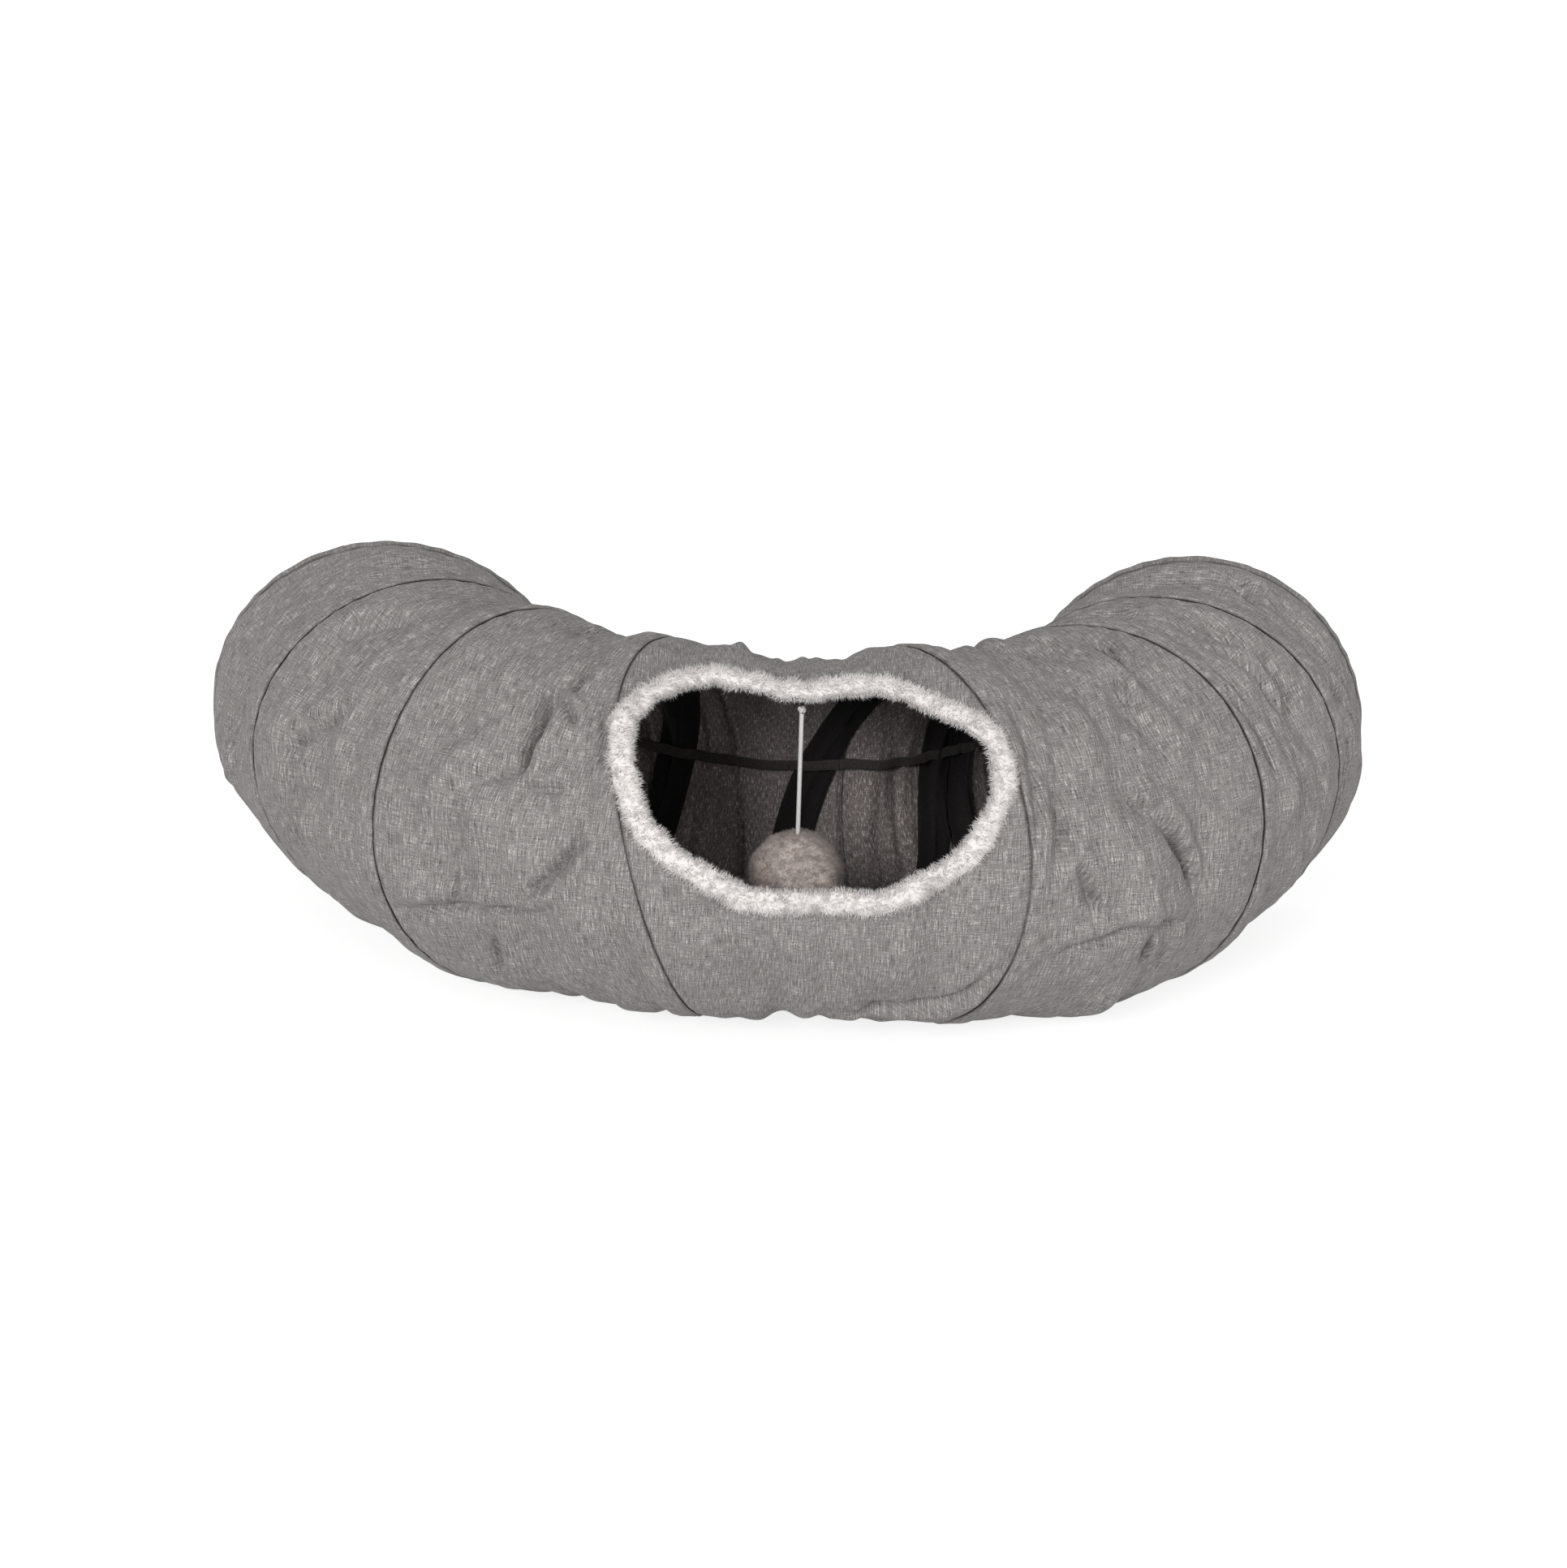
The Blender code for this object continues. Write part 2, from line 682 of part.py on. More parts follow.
def make_knot(look, parent, top):
    knot = [(0, KNOT_RADIUS)] + arc_profile(KNOT_RADIUS, 0, math.pi, BALL_ROWS // 2)[1:-1]
    knot.append((0, -KNOT_RADIUS))
    return add_object("cord_knot", lathe("cord_knot", knot, top), look, parent, top)


def build():
    clear_scene()
    looks = {
        "cloth": material("grey_melange_cloth", (0.20, 0.20, 0.19), 0.9),
        "hem": material("grey_hem", (0.16, 0.16, 0.16), 0.9),
        "plush": material("white_plush", (0.80, 0.77, 0.75), 0.95),
        "wire": material("spring_steel", (0.55, 0.55, 0.56), 0.35, 1.0),
        "sleeve": material("crimped_steel", (0.62, 0.62, 0.60), 0.4, 1.0),
        "tape": material("black_tape", (0.02, 0.02, 0.02), 0.8),
        "strap": material("black_strap", (0.03, 0.03, 0.03), 0.7),
        "ball": material("beige_plush", (0.42, 0.38, 0.35), 0.95),
        "filling": material("white_fibre", (0.85, 0.85, 0.84), 0.95),
        "elastic": material("grey_elastic", (0.55, 0.55, 0.54), 0.7),
    }
    bend = Vector((0, BEND_RADIUS, AXIS_HEIGHT))
    root = add_empty("middle_of_bend", bend)
    pivots = {ring: add_empty("fold_axis_" + ring, bend, root) for ring in RINGS}

    owners = [RINGS[1], RINGS[2], RINGS[3], None, RINGS[4], RINGS[5], RINGS[6]]
    panels = {}
    for panel, owner in zip(PANELS, owners):
        panels[panel] = make_panel(panel, looks["cloth"], pivots[owner] if owner else root)
    make_hem("left_hem", RINGS[0], looks["hem"], pivots[RINGS[0]])
    make_hem("right_hem", RINGS[-1], looks["hem"], pivots[RINGS[-1]])

    make_wire(looks["wire"], root)
    make_sleeve("left_wire_sleeve", RINGS[0], looks["sleeve"], pivots[RINGS[0]])
    make_sleeve("right_wire_sleeve", RINGS[-1], looks["sleeve"], pivots[RINGS[-1]])
    tapes = {}
    for number in range(1, len(RINGS)):
        ring = RINGS[number]
        tapes[ring] = make_tape(ring + "_tape", number, looks["tape"], pivots[ring])
    make_strap(looks["strap"], root)

    add_object("hole_trim", trim_mesh("hole_trim", 0), looks["plush"], root)
    hole_plug = make_cutter("hole_plug", hole_cutter_mesh("hole_plug"))
    trim_room = make_cutter("trim_room", trim_mesh("trim_room", SEAT_GAP))
    cut(panels["center_panel"], hole_plug)
    cut(panels["center_panel"], trim_room)
    cut(tapes["hole_left"], trim_room)
    cut(tapes["hole_right"], trim_room)

    top = cord_top()
    swing = add_empty("cord_pivot", top, root)
    make_tab(looks["tape"], root, top)
    make_knot(looks["elastic"], swing, top)
    cord_start = top - Vector((0, 0, KNOT_RADIUS + SEAT_GAP))
    drops = [CORD_LENGTH * step / CORD_STEPS for step in range(CORD_STEPS + 1)]
    cord_points = [cord_start - Vector((0, 0, drop)) for drop in drops]
    tube_curve("elastic_cord", cord_points, CORD_DIAMETER, looks["elastic"], swing, CORD_BEVEL_STEPS)
    make_ball(looks, swing, top)


build()
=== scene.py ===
"""Looks of the cat tunnel: melange cloth, plush edge, tapes, strap, wire and toy ball.

Metres, in the frame's own axes. A place on the tube is its heading (degrees round the bend, 0 at
the middle, plus to the right), its tube angle (degrees, 0 outward, 90 up, -90 on the floor) and
its depth under the outside of the cloth. Each stretch of the tube between two rings is a bay; the
center bay is made in two halves, which meet at heading 0.
"""
import json
import math

import bpy
import numpy as np
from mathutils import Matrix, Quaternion, Vector


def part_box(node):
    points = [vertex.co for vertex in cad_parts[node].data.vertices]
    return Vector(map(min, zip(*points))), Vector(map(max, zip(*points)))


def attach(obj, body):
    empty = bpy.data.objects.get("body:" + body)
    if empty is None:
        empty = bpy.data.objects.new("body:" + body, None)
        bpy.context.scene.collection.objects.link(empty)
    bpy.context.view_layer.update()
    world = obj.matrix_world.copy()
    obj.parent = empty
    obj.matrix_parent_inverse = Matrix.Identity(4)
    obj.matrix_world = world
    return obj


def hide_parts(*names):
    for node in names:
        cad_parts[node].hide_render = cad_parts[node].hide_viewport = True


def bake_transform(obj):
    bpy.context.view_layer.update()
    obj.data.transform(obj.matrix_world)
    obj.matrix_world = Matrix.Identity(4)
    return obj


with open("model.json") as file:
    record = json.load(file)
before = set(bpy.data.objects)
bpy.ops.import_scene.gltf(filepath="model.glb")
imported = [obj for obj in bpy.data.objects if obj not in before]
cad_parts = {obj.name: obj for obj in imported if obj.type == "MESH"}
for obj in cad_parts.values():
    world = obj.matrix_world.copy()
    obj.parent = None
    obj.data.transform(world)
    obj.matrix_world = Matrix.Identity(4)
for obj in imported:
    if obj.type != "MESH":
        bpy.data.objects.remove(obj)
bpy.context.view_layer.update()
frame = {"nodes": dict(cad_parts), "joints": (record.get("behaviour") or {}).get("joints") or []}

# Driving sizes of the tube
TUBE_RADIUS = 0.135
BEND_RADIUS = frame["joints"][0]["pos_m"][1]
AXIS_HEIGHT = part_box("left_hem")[1].z / 2
CLOTH_THICKNESS = 0.0012
HEM_WIDTH = 0.014
HEM_DEPTH = 0.0068
HEM_INNER_DEPTH = 0.0044
HEM_RIPPLE = 0.0005
SEAT_GAP = 0.0003

# Spring wire, casing tape and strap
WIRE_DIAMETER = 0.0022
WIRE_DEPTH = 0.0027
TAPE_WIDTH = 0.030
TAPE_FRONT_WIDTH = 0.016
TAPE_THICKNESS = 0.0006
TAPE_GAP = 0.0006
TAPE_CURL = 0.0008
TAPE_TRIM = 34
CREST_REACH = 0.0026
STRAP_WIDTH = 0.008
STRAP_THICKNESS = 0.0012
STRAP_DEPTH = 0.0052
STRAP_ANGLE = 176.4

# Heading of each seam, degrees: middle, lean with height, turn towards the outer side, skew and bow
SEAMS = {
    "left_mouth": (-83.5, 0.0, 0.0, 0.0, 0.0),
    "left_outer": (-59.3, -2.2, -2.0, 0.4, -1.4),
    "left_inner": (-38.3, -3.0, -2.0, 1.0, 0.0),
    "hole_left": (-13.3, -5.2, -0.4, 0.2, 0.6),
    "hole_right": (16.8, 1.0, 4.8, 0.0, 0.0),
    "right_inner": (44.7, 0.4, 4.7, 0.7, -1.0),
    "right_outer": (61.8, -0.4, 4.5, 0.6, 0.0),
    "right_mouth": (82.6, 0.2, -0.4, 0.0, 0.0),
}
RINGS = list(SEAMS)

# How each hoop of wire differs from a circle, millimetres: slack, up, out, skew and oval
HOOP_SHAPES = {
    "left_mouth": (0, -2, 3, 2, 3),
    "left_outer": (-2, 2, -2, 4, 1),
    "left_inner": (0, 0, 0, 0, 1),
    "hole_left": (-2, 2, -1, 3, 2),
    "hole_right": (-1, 0, 0, 1, 2),
    "right_inner": (0, -3, 3, 0, 1),
    "right_outer": (-1, 2, -1, 3, 0),
    "right_mouth": (0, 2, 1, 2, -2),
}

# How the cloth in the middle of each bay stands off its hoops, in the same five ways
BAY_SHAPES = {
    "left_mouth": (0, 0, -1, 0, 0),
    "left_outer": (-1, 1, -1, 1, 0),
    "left_inner": (0, 3, -1, 1, 0),
    "center": (-1, 1, -1, 2, 1),
    "right_inner": (1, -2, 2, -2, 0),
    "right_outer": (0, 0, 0, 0, 0),
    "right_mouth": (0, 0, 1, 0, 0),
}
BAY_NAMES = list(BAY_SHAPES)
CENTER_BAY = BAY_NAMES.index("center")
LAST_BAY = len(BAY_NAMES) - 1

# Folds seen in the cloth: depth, half width at the start and at the end in millimetres, then
# (heading, tube angle) along each; a ridge stands on the left of the way it runs, and a fold of
# negative depth is a ridge
FOLDS = (
    (16.0, 8.0, 2.6, (-25.8, 60), (-25.2, 50), (-24.9, 42), (-25.6, 30)),
    (7.0, 3.0, 2.5, (-23.5, 55), (-21.3, 47)),
    (8.5, 5.0, 3.0, (-23.3, 72), (-23.1, 64), (-22.6, 56)),
    (-6.0, 9.0, 9.0, (-35.0, 11), (-32.3, 28), (-29.1, 48)),
    (8.5, 4.5, 3.5, (-19.3, 24), (-18.7, 12), (-21.6, 0), (-25.4, -10)),
    (7.0, 2.5, 2.5, (-31.1, -4), (-30.8, -13)),
    (8.0, 5.0, 4.0, (-40.0, -24), (-35.1, -19), (-29.5, -14), (-26.0, -13), (-20.5, -8)),
    (8.5, 4.0, 5.5, (-27.8, -22), (-28.6, -33), (-29.2, -46)),
    (5.0, 7.0, 7.0, (-34.0, 17), (-29.1, 26), (-21.5, 38)),
    (7.0, 6.0, 5.0, (-56.4, 10), (-50.7, 28), (-46.9, 40)),
    (6.0, 6.0, 6.0, (-50.7, 10), (-53.1, -10)),
    (8.5, 4.0, 4.0, (-72.0, 6), (-71.0, -3), (-71.5, -13)),
    (7.0, 5.0, 5.0, (-19.7, 56), (-18.1, 46), (-17.6, 34)),
    (6.0, 5.0, 4.0, (-25.2, 22), (-23.8, 26), (-20.4, 28)),
    (6.0, 6.0, 6.0, (-57.3, 50), (-55.3, 60), (-52.0, 73)),
    (10.0, 3.0, 3.0, (42.2, 86), (41.4, 77), (40.5, 68)),
    (7.0, 3.0, 3.0, (38.7, 66), (37.8, 61), (38.0, 54)),
    (11.5, 6.0, 2.6, (34.6, 21), (36.4, 12), (38.4, 3), (39.5, -9)),
    (7.0, 5.0, 4.0, (32.7, 26), (34.4, 18)),
    (8.0, 3.5, 3.5, (26.2, 9), (28.4, -8)),
    (8.5, 2.6, 2.6, (34.3, -17), (35.3, -30)),
    (7.0, 4.0, 5.0, (24.4, -22), (27.8, -18), (32.4, -13), (38.9, -15)),
    (8.5, 4.0, 5.0, (20.0, -23), (17.5, -36), (12.1, -45), (5.0, -50)),
    (7.0, 5.0, 5.0, (77.0, 78), (71.0, 66)),
    (6.0, 4.0, 4.0, (59.3, 76), (58.6, 66), (59.5, 52)),
    (-6.0, 8.0, 8.0, (57.6, 44), (54.7, 20), (52.6, 1)),
    (6.5, 4.5, 4.5, (70.0, 33), (72.2, 24), (72.5, 15)),
    (6.0, 6.0, 6.0, (25.5, 48), (25.9, 35), (25.1, 20), (23.8, 3)),
    (-4.5, 9.0, 9.0, (32.3, 76), (30.2, 46), (29.3, 30)),
    (6.0, 4.0, 4.0, (22.5, 62), (23.4, 46), (22.6, 28), (21.8, 8)),
    (6.5, 3.0, 3.0, (54.0, 66), (56.5, 50), (57.5, 34)),
    (6.0, 3.5, 3.5, (49.5, 52), (51.5, 34), (52.0, 16)),
)

# How far each pass of the wire up the inner wall has moved on, at the two tube angles below
PASS_ANGLES = (-160.0, -220.0)
PASS_SHARES = {
    "left_outer": (0.33, 0.72),
    "left_inner": (0.33, 0.72),
    "hole_left": (0.13, 0.68),
    "hole_right": (0.52, 1.14),
    "right_inner": (0.88, 0.97),
    "right_outer": (0.36, 0.72),
    "right_mouth": (0.36, 0.72),
}

# A fold's valley and the ridge beside it: its height, place and width as shares of the valley's
FOLD_STRENGTH = 1.2
FOLD_ROOM = 0.010
VALLEY_POWER = 1.3
RIDGE_SHARE = 0.5
RIDGE_PLACE = 2.4
RIDGE_WIDTH = 1.8

# Drape of the cloth between two rings; each ripple has a size, a stretch round the tube and a height
TOP_SAG = 0.007
SIDE_SAG = 0.002
SAG_SIZE = 0.16
RIPPLES = ((0.085, 1.0, 0.0026), (0.045, 0.32, 0.0024), (0.021, 0.40, 0.0009))
RIPPLE_ANGLE = 40.0
LOOSE_MEAN = 0.65
LOOSE_SWING = 0.35
CALM_SPOT = (2.0, 78.0)
CALM_REACH = (12.0, 24.0)
CALM_STRENGTH = 0.75
WAVE_COUNT = 24

# Seams: gathers, the edge lapped under, the width of the dark line of painted shade along each seam and
# hem, and the loose band of cloth beside it
PUCKER_HEIGHT = 0.0006
PUCKER_LENGTH = 0.024
PUCKER_REACH = 0.018
PUCKER_START = 0.003
LAP_WIDTH = 0.0030
LAP_DIP = 0.0019
LAP_DIP_REACH = 0.0026
LAP_ROOM_REACH = 0.0060
SEAM_PAINTED_SHADE_WIDTH = 0.0008
BAND_WIDTH = 0.017
BAND_RISE = 0.0013
BAND_START = 0.003
BAND_VALLEY = 0.0034
BAND_VALLEY_WIDTH = 0.006
HEM_PAINTED_SHADE_WIDTH = 0.0030
HEM_DIP = 0.0017
HEM_DIP_REACH = 0.0075
HEM_PINCH = 0.0009

# Side hole, as (heading, tube angle) round its plush edge from the right, and the edge itself
HOLE_OUTLINE = (
    (19.9, 47), (17.8, 56), (14.2, 65), (9.4, 72.5), (4.8, 73), (1.5, 71), (-3.5, 73), (-11.3, 71),
    (-16.2, 51), (-13.0, 21), (-4.7, 3), (1.6, 1), (4.9, 1), (9.3, 2), (15.6, 13), (19.8, 32),
)
HOLE_MIDDLE = (2.0, 37.0)
HOLE_STRETCH = 2.2
TRIM_WIDTH = 0.0185
TRIM_THICKNESS = 0.0125
TRIM_SWELL = 0.0006
TRIM_INSET = 0.0016
TRIM_OVERLAP = 0.004
NEST_SHARE = 0.35
TUFT_COUNT = 20000
TUFT_LENGTH = 0.0060
TUFT_WIDTH = 0.0010
ROOT_DEPTH = 0.0012
CLUMP_SIZE = 0.009
CLUMP_LEAN = 0.34
STRAY_LEAN = 0.24

# Toy ball and its elastic
BALL_RADIUS = 0.0318
BALL_SWELL = 0.0006
SWELL_SIZE = 0.7
BALL_DIMPLE = 0.0012
DIMPLE_WIDTH = 0.16
HAIR_COUNT = 13000
HAIR_LENGTH = 0.0042
HAIR_WIDTH = 0.0008
HAIR_ROOT_DEPTH = 0.001
HAIR_LIFT = 0.8
HAIR_CLUMP_SIZE = 0.2
HAIR_CLUMP_LEAN = 0.6
HAIR_STRAY_LEAN = 0.4
CORD_DIAMETER = 0.003
CORD_IN_KNOT = 0.001
CORD_IN_BALL = 0.003
KNOT_HEIGHT = 0.0011
KNOT_TIGHTNESS = 0.8

# Mesh fineness
STATIONS = 288
FINE_ANGLE = 30.0
FINENESS = 20.0
ROWS_PER_DEGREE = 3.2
EDGE_ROWS = 9
EDGE_SHARE = 0.05
HEM_STEPS = 9
WIRE_STEPS = 145
HOOP_STEPS = 96
WIRE_SIDES = 6
TAPE_STEPS = 181
TAPE_SIDES = 17
STRAP_STEPS = 25
TRIM_STEPS = 220
TRIM_SIDES = 14
TUFT_LEVELS = 2
TUFT_SIDES = 3
BALL_ROWS = 40
BALL_SIDES = 64
CORD_STEPS = 61
KNOT_STEPS = 72

# Woven looks: name, colours of the dark, middle and light threads, thread width and slub length in
# metres, the warp's share, strength of the uneven tone with its patchy painted shade, and height of the
# threads
WOVEN = {
    # The grey cloth's strong uneven tone is partly painted shade, patches standing in for the shading of
    # soft folds
    "cloth": ("grey_melange_cloth", (0.080, 0.075, 0.072), (0.240, 0.226, 0.219), (0.56, 0.54, 0.525),
              0.0009, 0.012, 0.38, 0.35, 0.0004),
    "lining": ("dark_reverse_of_cloth", (0.098, 0.085, 0.080), (0.210, 0.180, 0.172), (0.62, 0.57, 0.555),
               0.0009, 0.005, 0.22, 0.5, 0.0004),
    "tape": ("black_tape", (0.007, 0.006, 0.006), (0.012, 0.010, 0.010), (0.024, 0.022, 0.021),
             0.0006, 0.003, 0.5, 0.3, 0.0002),
    "strap": ("black_webbing", (0.026, 0.023, 0.022), (0.050, 0.044, 0.042), (0.090, 0.080, 0.076),
              0.0008, 0.002, 0.6, 0.3, 0.0004),
    "elastic": ("grey_elastic", (0.46, 0.45, 0.44), (0.66, 0.65, 0.64), (0.82, 0.81, 0.80),
                0.0006, 0.0016, 0.5, 0.1, 0.0003),
}
CLOTH_PATCH = 0.035
SPECK_SHARE = 0.25
# Painted shade in the seams' grooves and along the hems' stitched lines: its strength and its dark colour
SEAM_PAINTED_SHADE_STRENGTH = 0.7
SEAM_PAINTED_SHADE_COLOUR = (0.035, 0.032, 0.030, 1)
LOW_SHINE = 0.25

# Plush looks: name, colours of the tips and of the roots, the roots' darker colour painted shade deep in
# the pile, patch size in metres and strength of the tone
PLUSH = {
    "plush": ("white_plush", (0.88, 0.84, 0.825), (0.80, 0.755, 0.735), 0.02, 0.08),
    "ball": ("beige_plush", (0.60, 0.520, 0.480), (0.40, 0.345, 0.315), 0.015, 0.4),
}

# Lamps: name, place, spread in degrees and power; the floor and the sky
LAMPS = (("key", (-0.9, -2.0, 1.0), 20.0, 1.7), ("fill", (1.5, -1.8, 0.8), 50.0, 0.9))
FLOOR_REACH = 14
FLOOR_HEIGHT = -0.0004
FLOOR_GLOW = 1.6
SKY_LEVEL = 0.42

# Camera that shows the object as photographed
CAMERA_ELEVATION = 19.3
CAMERA_DISTANCE = 2.428
CAMERA_ROLL = 1.78
CAMERA_TARGET = (-0.0043, 0.0999, 0.1381)
CAMERA_LENS = 77.15
SENSOR_WIDTH = 36.0

# Distance from the bend's centre of the fold places that are worked out for each bay
FOLD_RADIUS = 0.29

# A length beyond any on the tube, and the random draws of the plush
FAR = 1e9
DRAW = np.random.default_rng(7)


# Places on the tube

def sin_deg(angle):
    return np.sin(np.radians(angle))


def cos_deg(angle):
    return np.cos(np.radians(angle))


def mix(a, b, share):
    return a + (b - a) * share


def wrapped(angle):
    """The same angle between -180 and 180."""
    return (np.asarray(angle) + 180.0) % 360.0 - 180.0


def smooth_step(low, high, value):
    t = np.clip((value - low) / (high - low), 0, 1)
    return t * t * (3 - 2 * t)


def unit(vectors):
    """The same directions with length 1."""
    return vectors / np.maximum(np.linalg.norm(vectors, axis=-1, keepdims=True), 1e-12)


def run_lengths(points):
    """Length of the way to each point of a row of points."""
    return np.concatenate([[0], np.cumsum(np.linalg.norm(np.diff(points, axis=0), axis=1))])


def turning_radius(tube_angle):
    return BEND_RADIUS + TUBE_RADIUS * cos_deg(tube_angle)


def arc(heading, tube_angle):
    """Length along the tube of a stretch of heading."""
    return np.radians(heading) * turning_radius(tube_angle)


def along_heading(length, tube_angle):
    """Degrees of heading that a length takes at a tube angle."""
    return np.degrees(length / turning_radius(tube_angle))


def tube_points(heading, tube_angle, radius=TUBE_RADIUS):
    """Points at a distance from the tube's middle line; heading, angle and radius are arrays."""
    heading, tube_angle, radius = np.broadcast_arrays(heading, tube_angle, radius)
    reach = BEND_RADIUS + radius * cos_deg(tube_angle)
    return np.stack([reach * sin_deg(heading), BEND_RADIUS - reach * cos_deg(heading),
                     AXIS_HEIGHT + radius * sin_deg(tube_angle)], -1)


def round_shape(values, tube_angle):
    """A value round the tube: its mean, its parts with height and outward, its skew and its oval."""
    mean, up, out, skew, oval = values
    return (mean + up * sin_deg(tube_angle) + out * cos_deg(tube_angle)
            + skew * sin_deg(2 * tube_angle) + oval * cos_deg(2 * tube_angle))


def seam_heading(ring, tube_angle):
    return round_shape(SEAMS[ring], tube_angle)


def hoop_heading(ring, tube_angle, offset):
    """Heading at a distance inward of a mouth's rim."""
    inward = 1 if SEAMS[ring][0] < 0 else -1
    return seam_heading(ring, tube_angle) + inward * along_heading(offset, tube_angle)


def bay_edges(bay, tube_angle):
    """Headings of the two edges of a bay's cloth; at a mouth the hem takes the rest."""
    first = seam_heading(RINGS[bay], tube_angle)
    last = seam_heading(RINGS[bay + 1], tube_angle)
    if bay == 0:
        first = first + along_heading(HEM_WIDTH, tube_angle)
    if bay == LAST_BAY:
        last = last - along_heading(HEM_WIDTH, tube_angle)
    return first, last


def bay_number(heading, tube_angle):
    """Which of the seven stretches between rings each place lies in."""
    return sum((heading >= seam_heading(ring, tube_angle)).astype(int) for ring in RINGS[1:-1])


def waves(points, size, seed):
    """Soft random swell of about unit height over points in space."""
    draw = np.random.default_rng(seed)
    directions = unit(draw.normal(size=(WAVE_COUNT, 3)))
    numbers = directions * (2 * math.pi / size) * draw.uniform(0.7, 1.5, (WAVE_COUNT, 1))
    phases = draw.uniform(0, 2 * math.pi, WAVE_COUNT)
    return np.sin(points @ numbers.T + phases).sum(-1) / math.sqrt(WAVE_COUNT / 2)


def full_turn(count):
    """Angles at even steps round a circle, in radians."""
    return 2 * math.pi * np.arange(count) / count


def hoop_swell(heading, tube_angle):
    """How far the hoops and the bays between them hold the cloth out from a round tube."""
    number = bay_number(heading, tube_angle)
    swell = np.zeros(heading.shape)
    for bay, name in enumerate(BAY_NAMES):
        first, last = (seam_heading(ring, tube_angle) for ring in RINGS[bay:bay + 2])
        share = np.clip((heading - first) / (last - first), 0, 1)
        ends = mix(round_shape(HOOP_SHAPES[RINGS[bay]], tube_angle),
                   round_shape(HOOP_SHAPES[RINGS[bay + 1]], tube_angle), share)
        middle = round_shape(BAY_SHAPES[name], tube_angle) * np.sin(math.pi * share) ** 2
        swell += np.where(number == bay, ends + middle, 0)
    return swell / 1000


def fold_depth(heading, tube_angle):
    """Depth of the folds: a valley along each line with a ridge on its left."""
    total = np.zeros(heading.shape)
    for depth, begin_width, end_width, *line in FOLDS:
        middle_angle = np.mean(line, axis=0)[1]
        scale = np.array([arc(1, middle_angle), math.radians(1) * TUBE_RADIUS])
        spots = np.array(line) * scale
        x = heading * scale[0]
        y = (middle_angle + wrapped(tube_angle - middle_angle)) * scale[1]
        starts = run_lengths(spots)
        nearest = np.full(heading.shape, FAR)
        side = np.zeros(heading.shape)
        share = np.zeros(heading.shape)
        for start, end, a, b in zip(starts, starts[1:], spots, spots[1:]):
            ahead = (b - a) / np.linalg.norm(b - a)
            along = np.clip((x - a[0]) * ahead[0] + (y - a[1]) * ahead[1], 0, end - start)
            dx, dy = x - a[0] - along * ahead[0], y - a[1] - along * ahead[1]
            distance = np.hypot(dx, dy)
            closer = distance < nearest
            nearest = np.where(closer, distance, nearest)
            side = np.where(closer, np.sign(ahead[0] * dy - ahead[1] * dx), side)
            share = np.where(closer, (start + along) / starts[-1], share)
        taper = smooth_step(-0.15, 0.4, share) * (1 - smooth_step(0.75, 1.05, share))
        signed = nearest * side
        width = mix(begin_width, end_width, share) / 1000
        profile = np.exp(-np.abs(signed / width) ** VALLEY_POWER)
        if depth > 0:
            profile -= RIDGE_SHARE * np.exp(-((signed - RIDGE_PLACE * width) / (RIDGE_WIDTH * width)) ** 2)
        total += depth / 1000 * taper * profile
    return FOLD_STRENGTH * total


def ripple_strength(heading, tube_angle):
    """Ripples are strongest on the upper front, and the plush edge holds the cloth above it smooth."""
    loose = LOOSE_MEAN + LOOSE_SWING * cos_deg(tube_angle - RIPPLE_ANGLE)
    calm = np.hypot((heading - CALM_SPOT[0]) / CALM_REACH[0],
                    wrapped(tube_angle - CALM_SPOT[1]) / CALM_REACH[1])
    return loose * (1 - CALM_STRENGTH * np.exp(-calm ** 4))


def drape_depth(heading, tube_angle):
    """How far the cloth hangs in from the full tube: sag, folds, ripples and gathers, without the laps."""
    height_share = (1 + sin_deg(tube_angle)) / 2
    points = tube_points(heading, tube_angle)
    number = bay_number(heading, tube_angle)
    depth = np.zeros(heading.shape)
    arch = np.zeros(heading.shape)
    edge_distance = np.full(heading.shape, 1.0)
    for bay in range(len(BAY_NAMES)):
        first, last = bay_edges(bay, tube_angle)
        share = np.clip((heading - first) / (last - first), 0, 1)
        here = np.where(number == bay, np.sin(math.pi * share) ** 2, 0)
        side_sag = SIDE_SAG * (0.3 + 0.7 * waves(points, SAG_SIZE, 40 + bay))
        depth += here * (TOP_SAG * height_share ** 1.5 + side_sag)
        arch += here
        for edge in (first, last):
            edge_distance = np.minimum(edge_distance, np.abs(arc(heading - edge, tube_angle)))
    along = np.radians(tube_angle) * TUBE_RADIUS
    rippling = ripple_strength(heading, tube_angle) * arch ** 0.5
    for index, (size, stretch, height) in enumerate(RIPPLES):
        places = np.stack([np.radians(heading) * (BEND_RADIUS + TUBE_RADIUS),
                           stretch * TUBE_RADIUS * cos_deg(tube_angle),
                           stretch * TUBE_RADIUS * sin_deg(tube_angle)], -1)
        depth += rippling * height * waves(places, size, 11 + index)
    depth += fold_depth(heading, tube_angle) * smooth_step(0.0, FOLD_ROOM, edge_distance)
    pucker = np.exp(-edge_distance / PUCKER_REACH) * (1 - np.exp(-edge_distance / PUCKER_START))
    beat = np.sin(2 * math.pi * along / PUCKER_LENGTH + 2.5 * waves(points, 0.12, 23))
    return depth + pucker * PUCKER_HEIGHT * beat


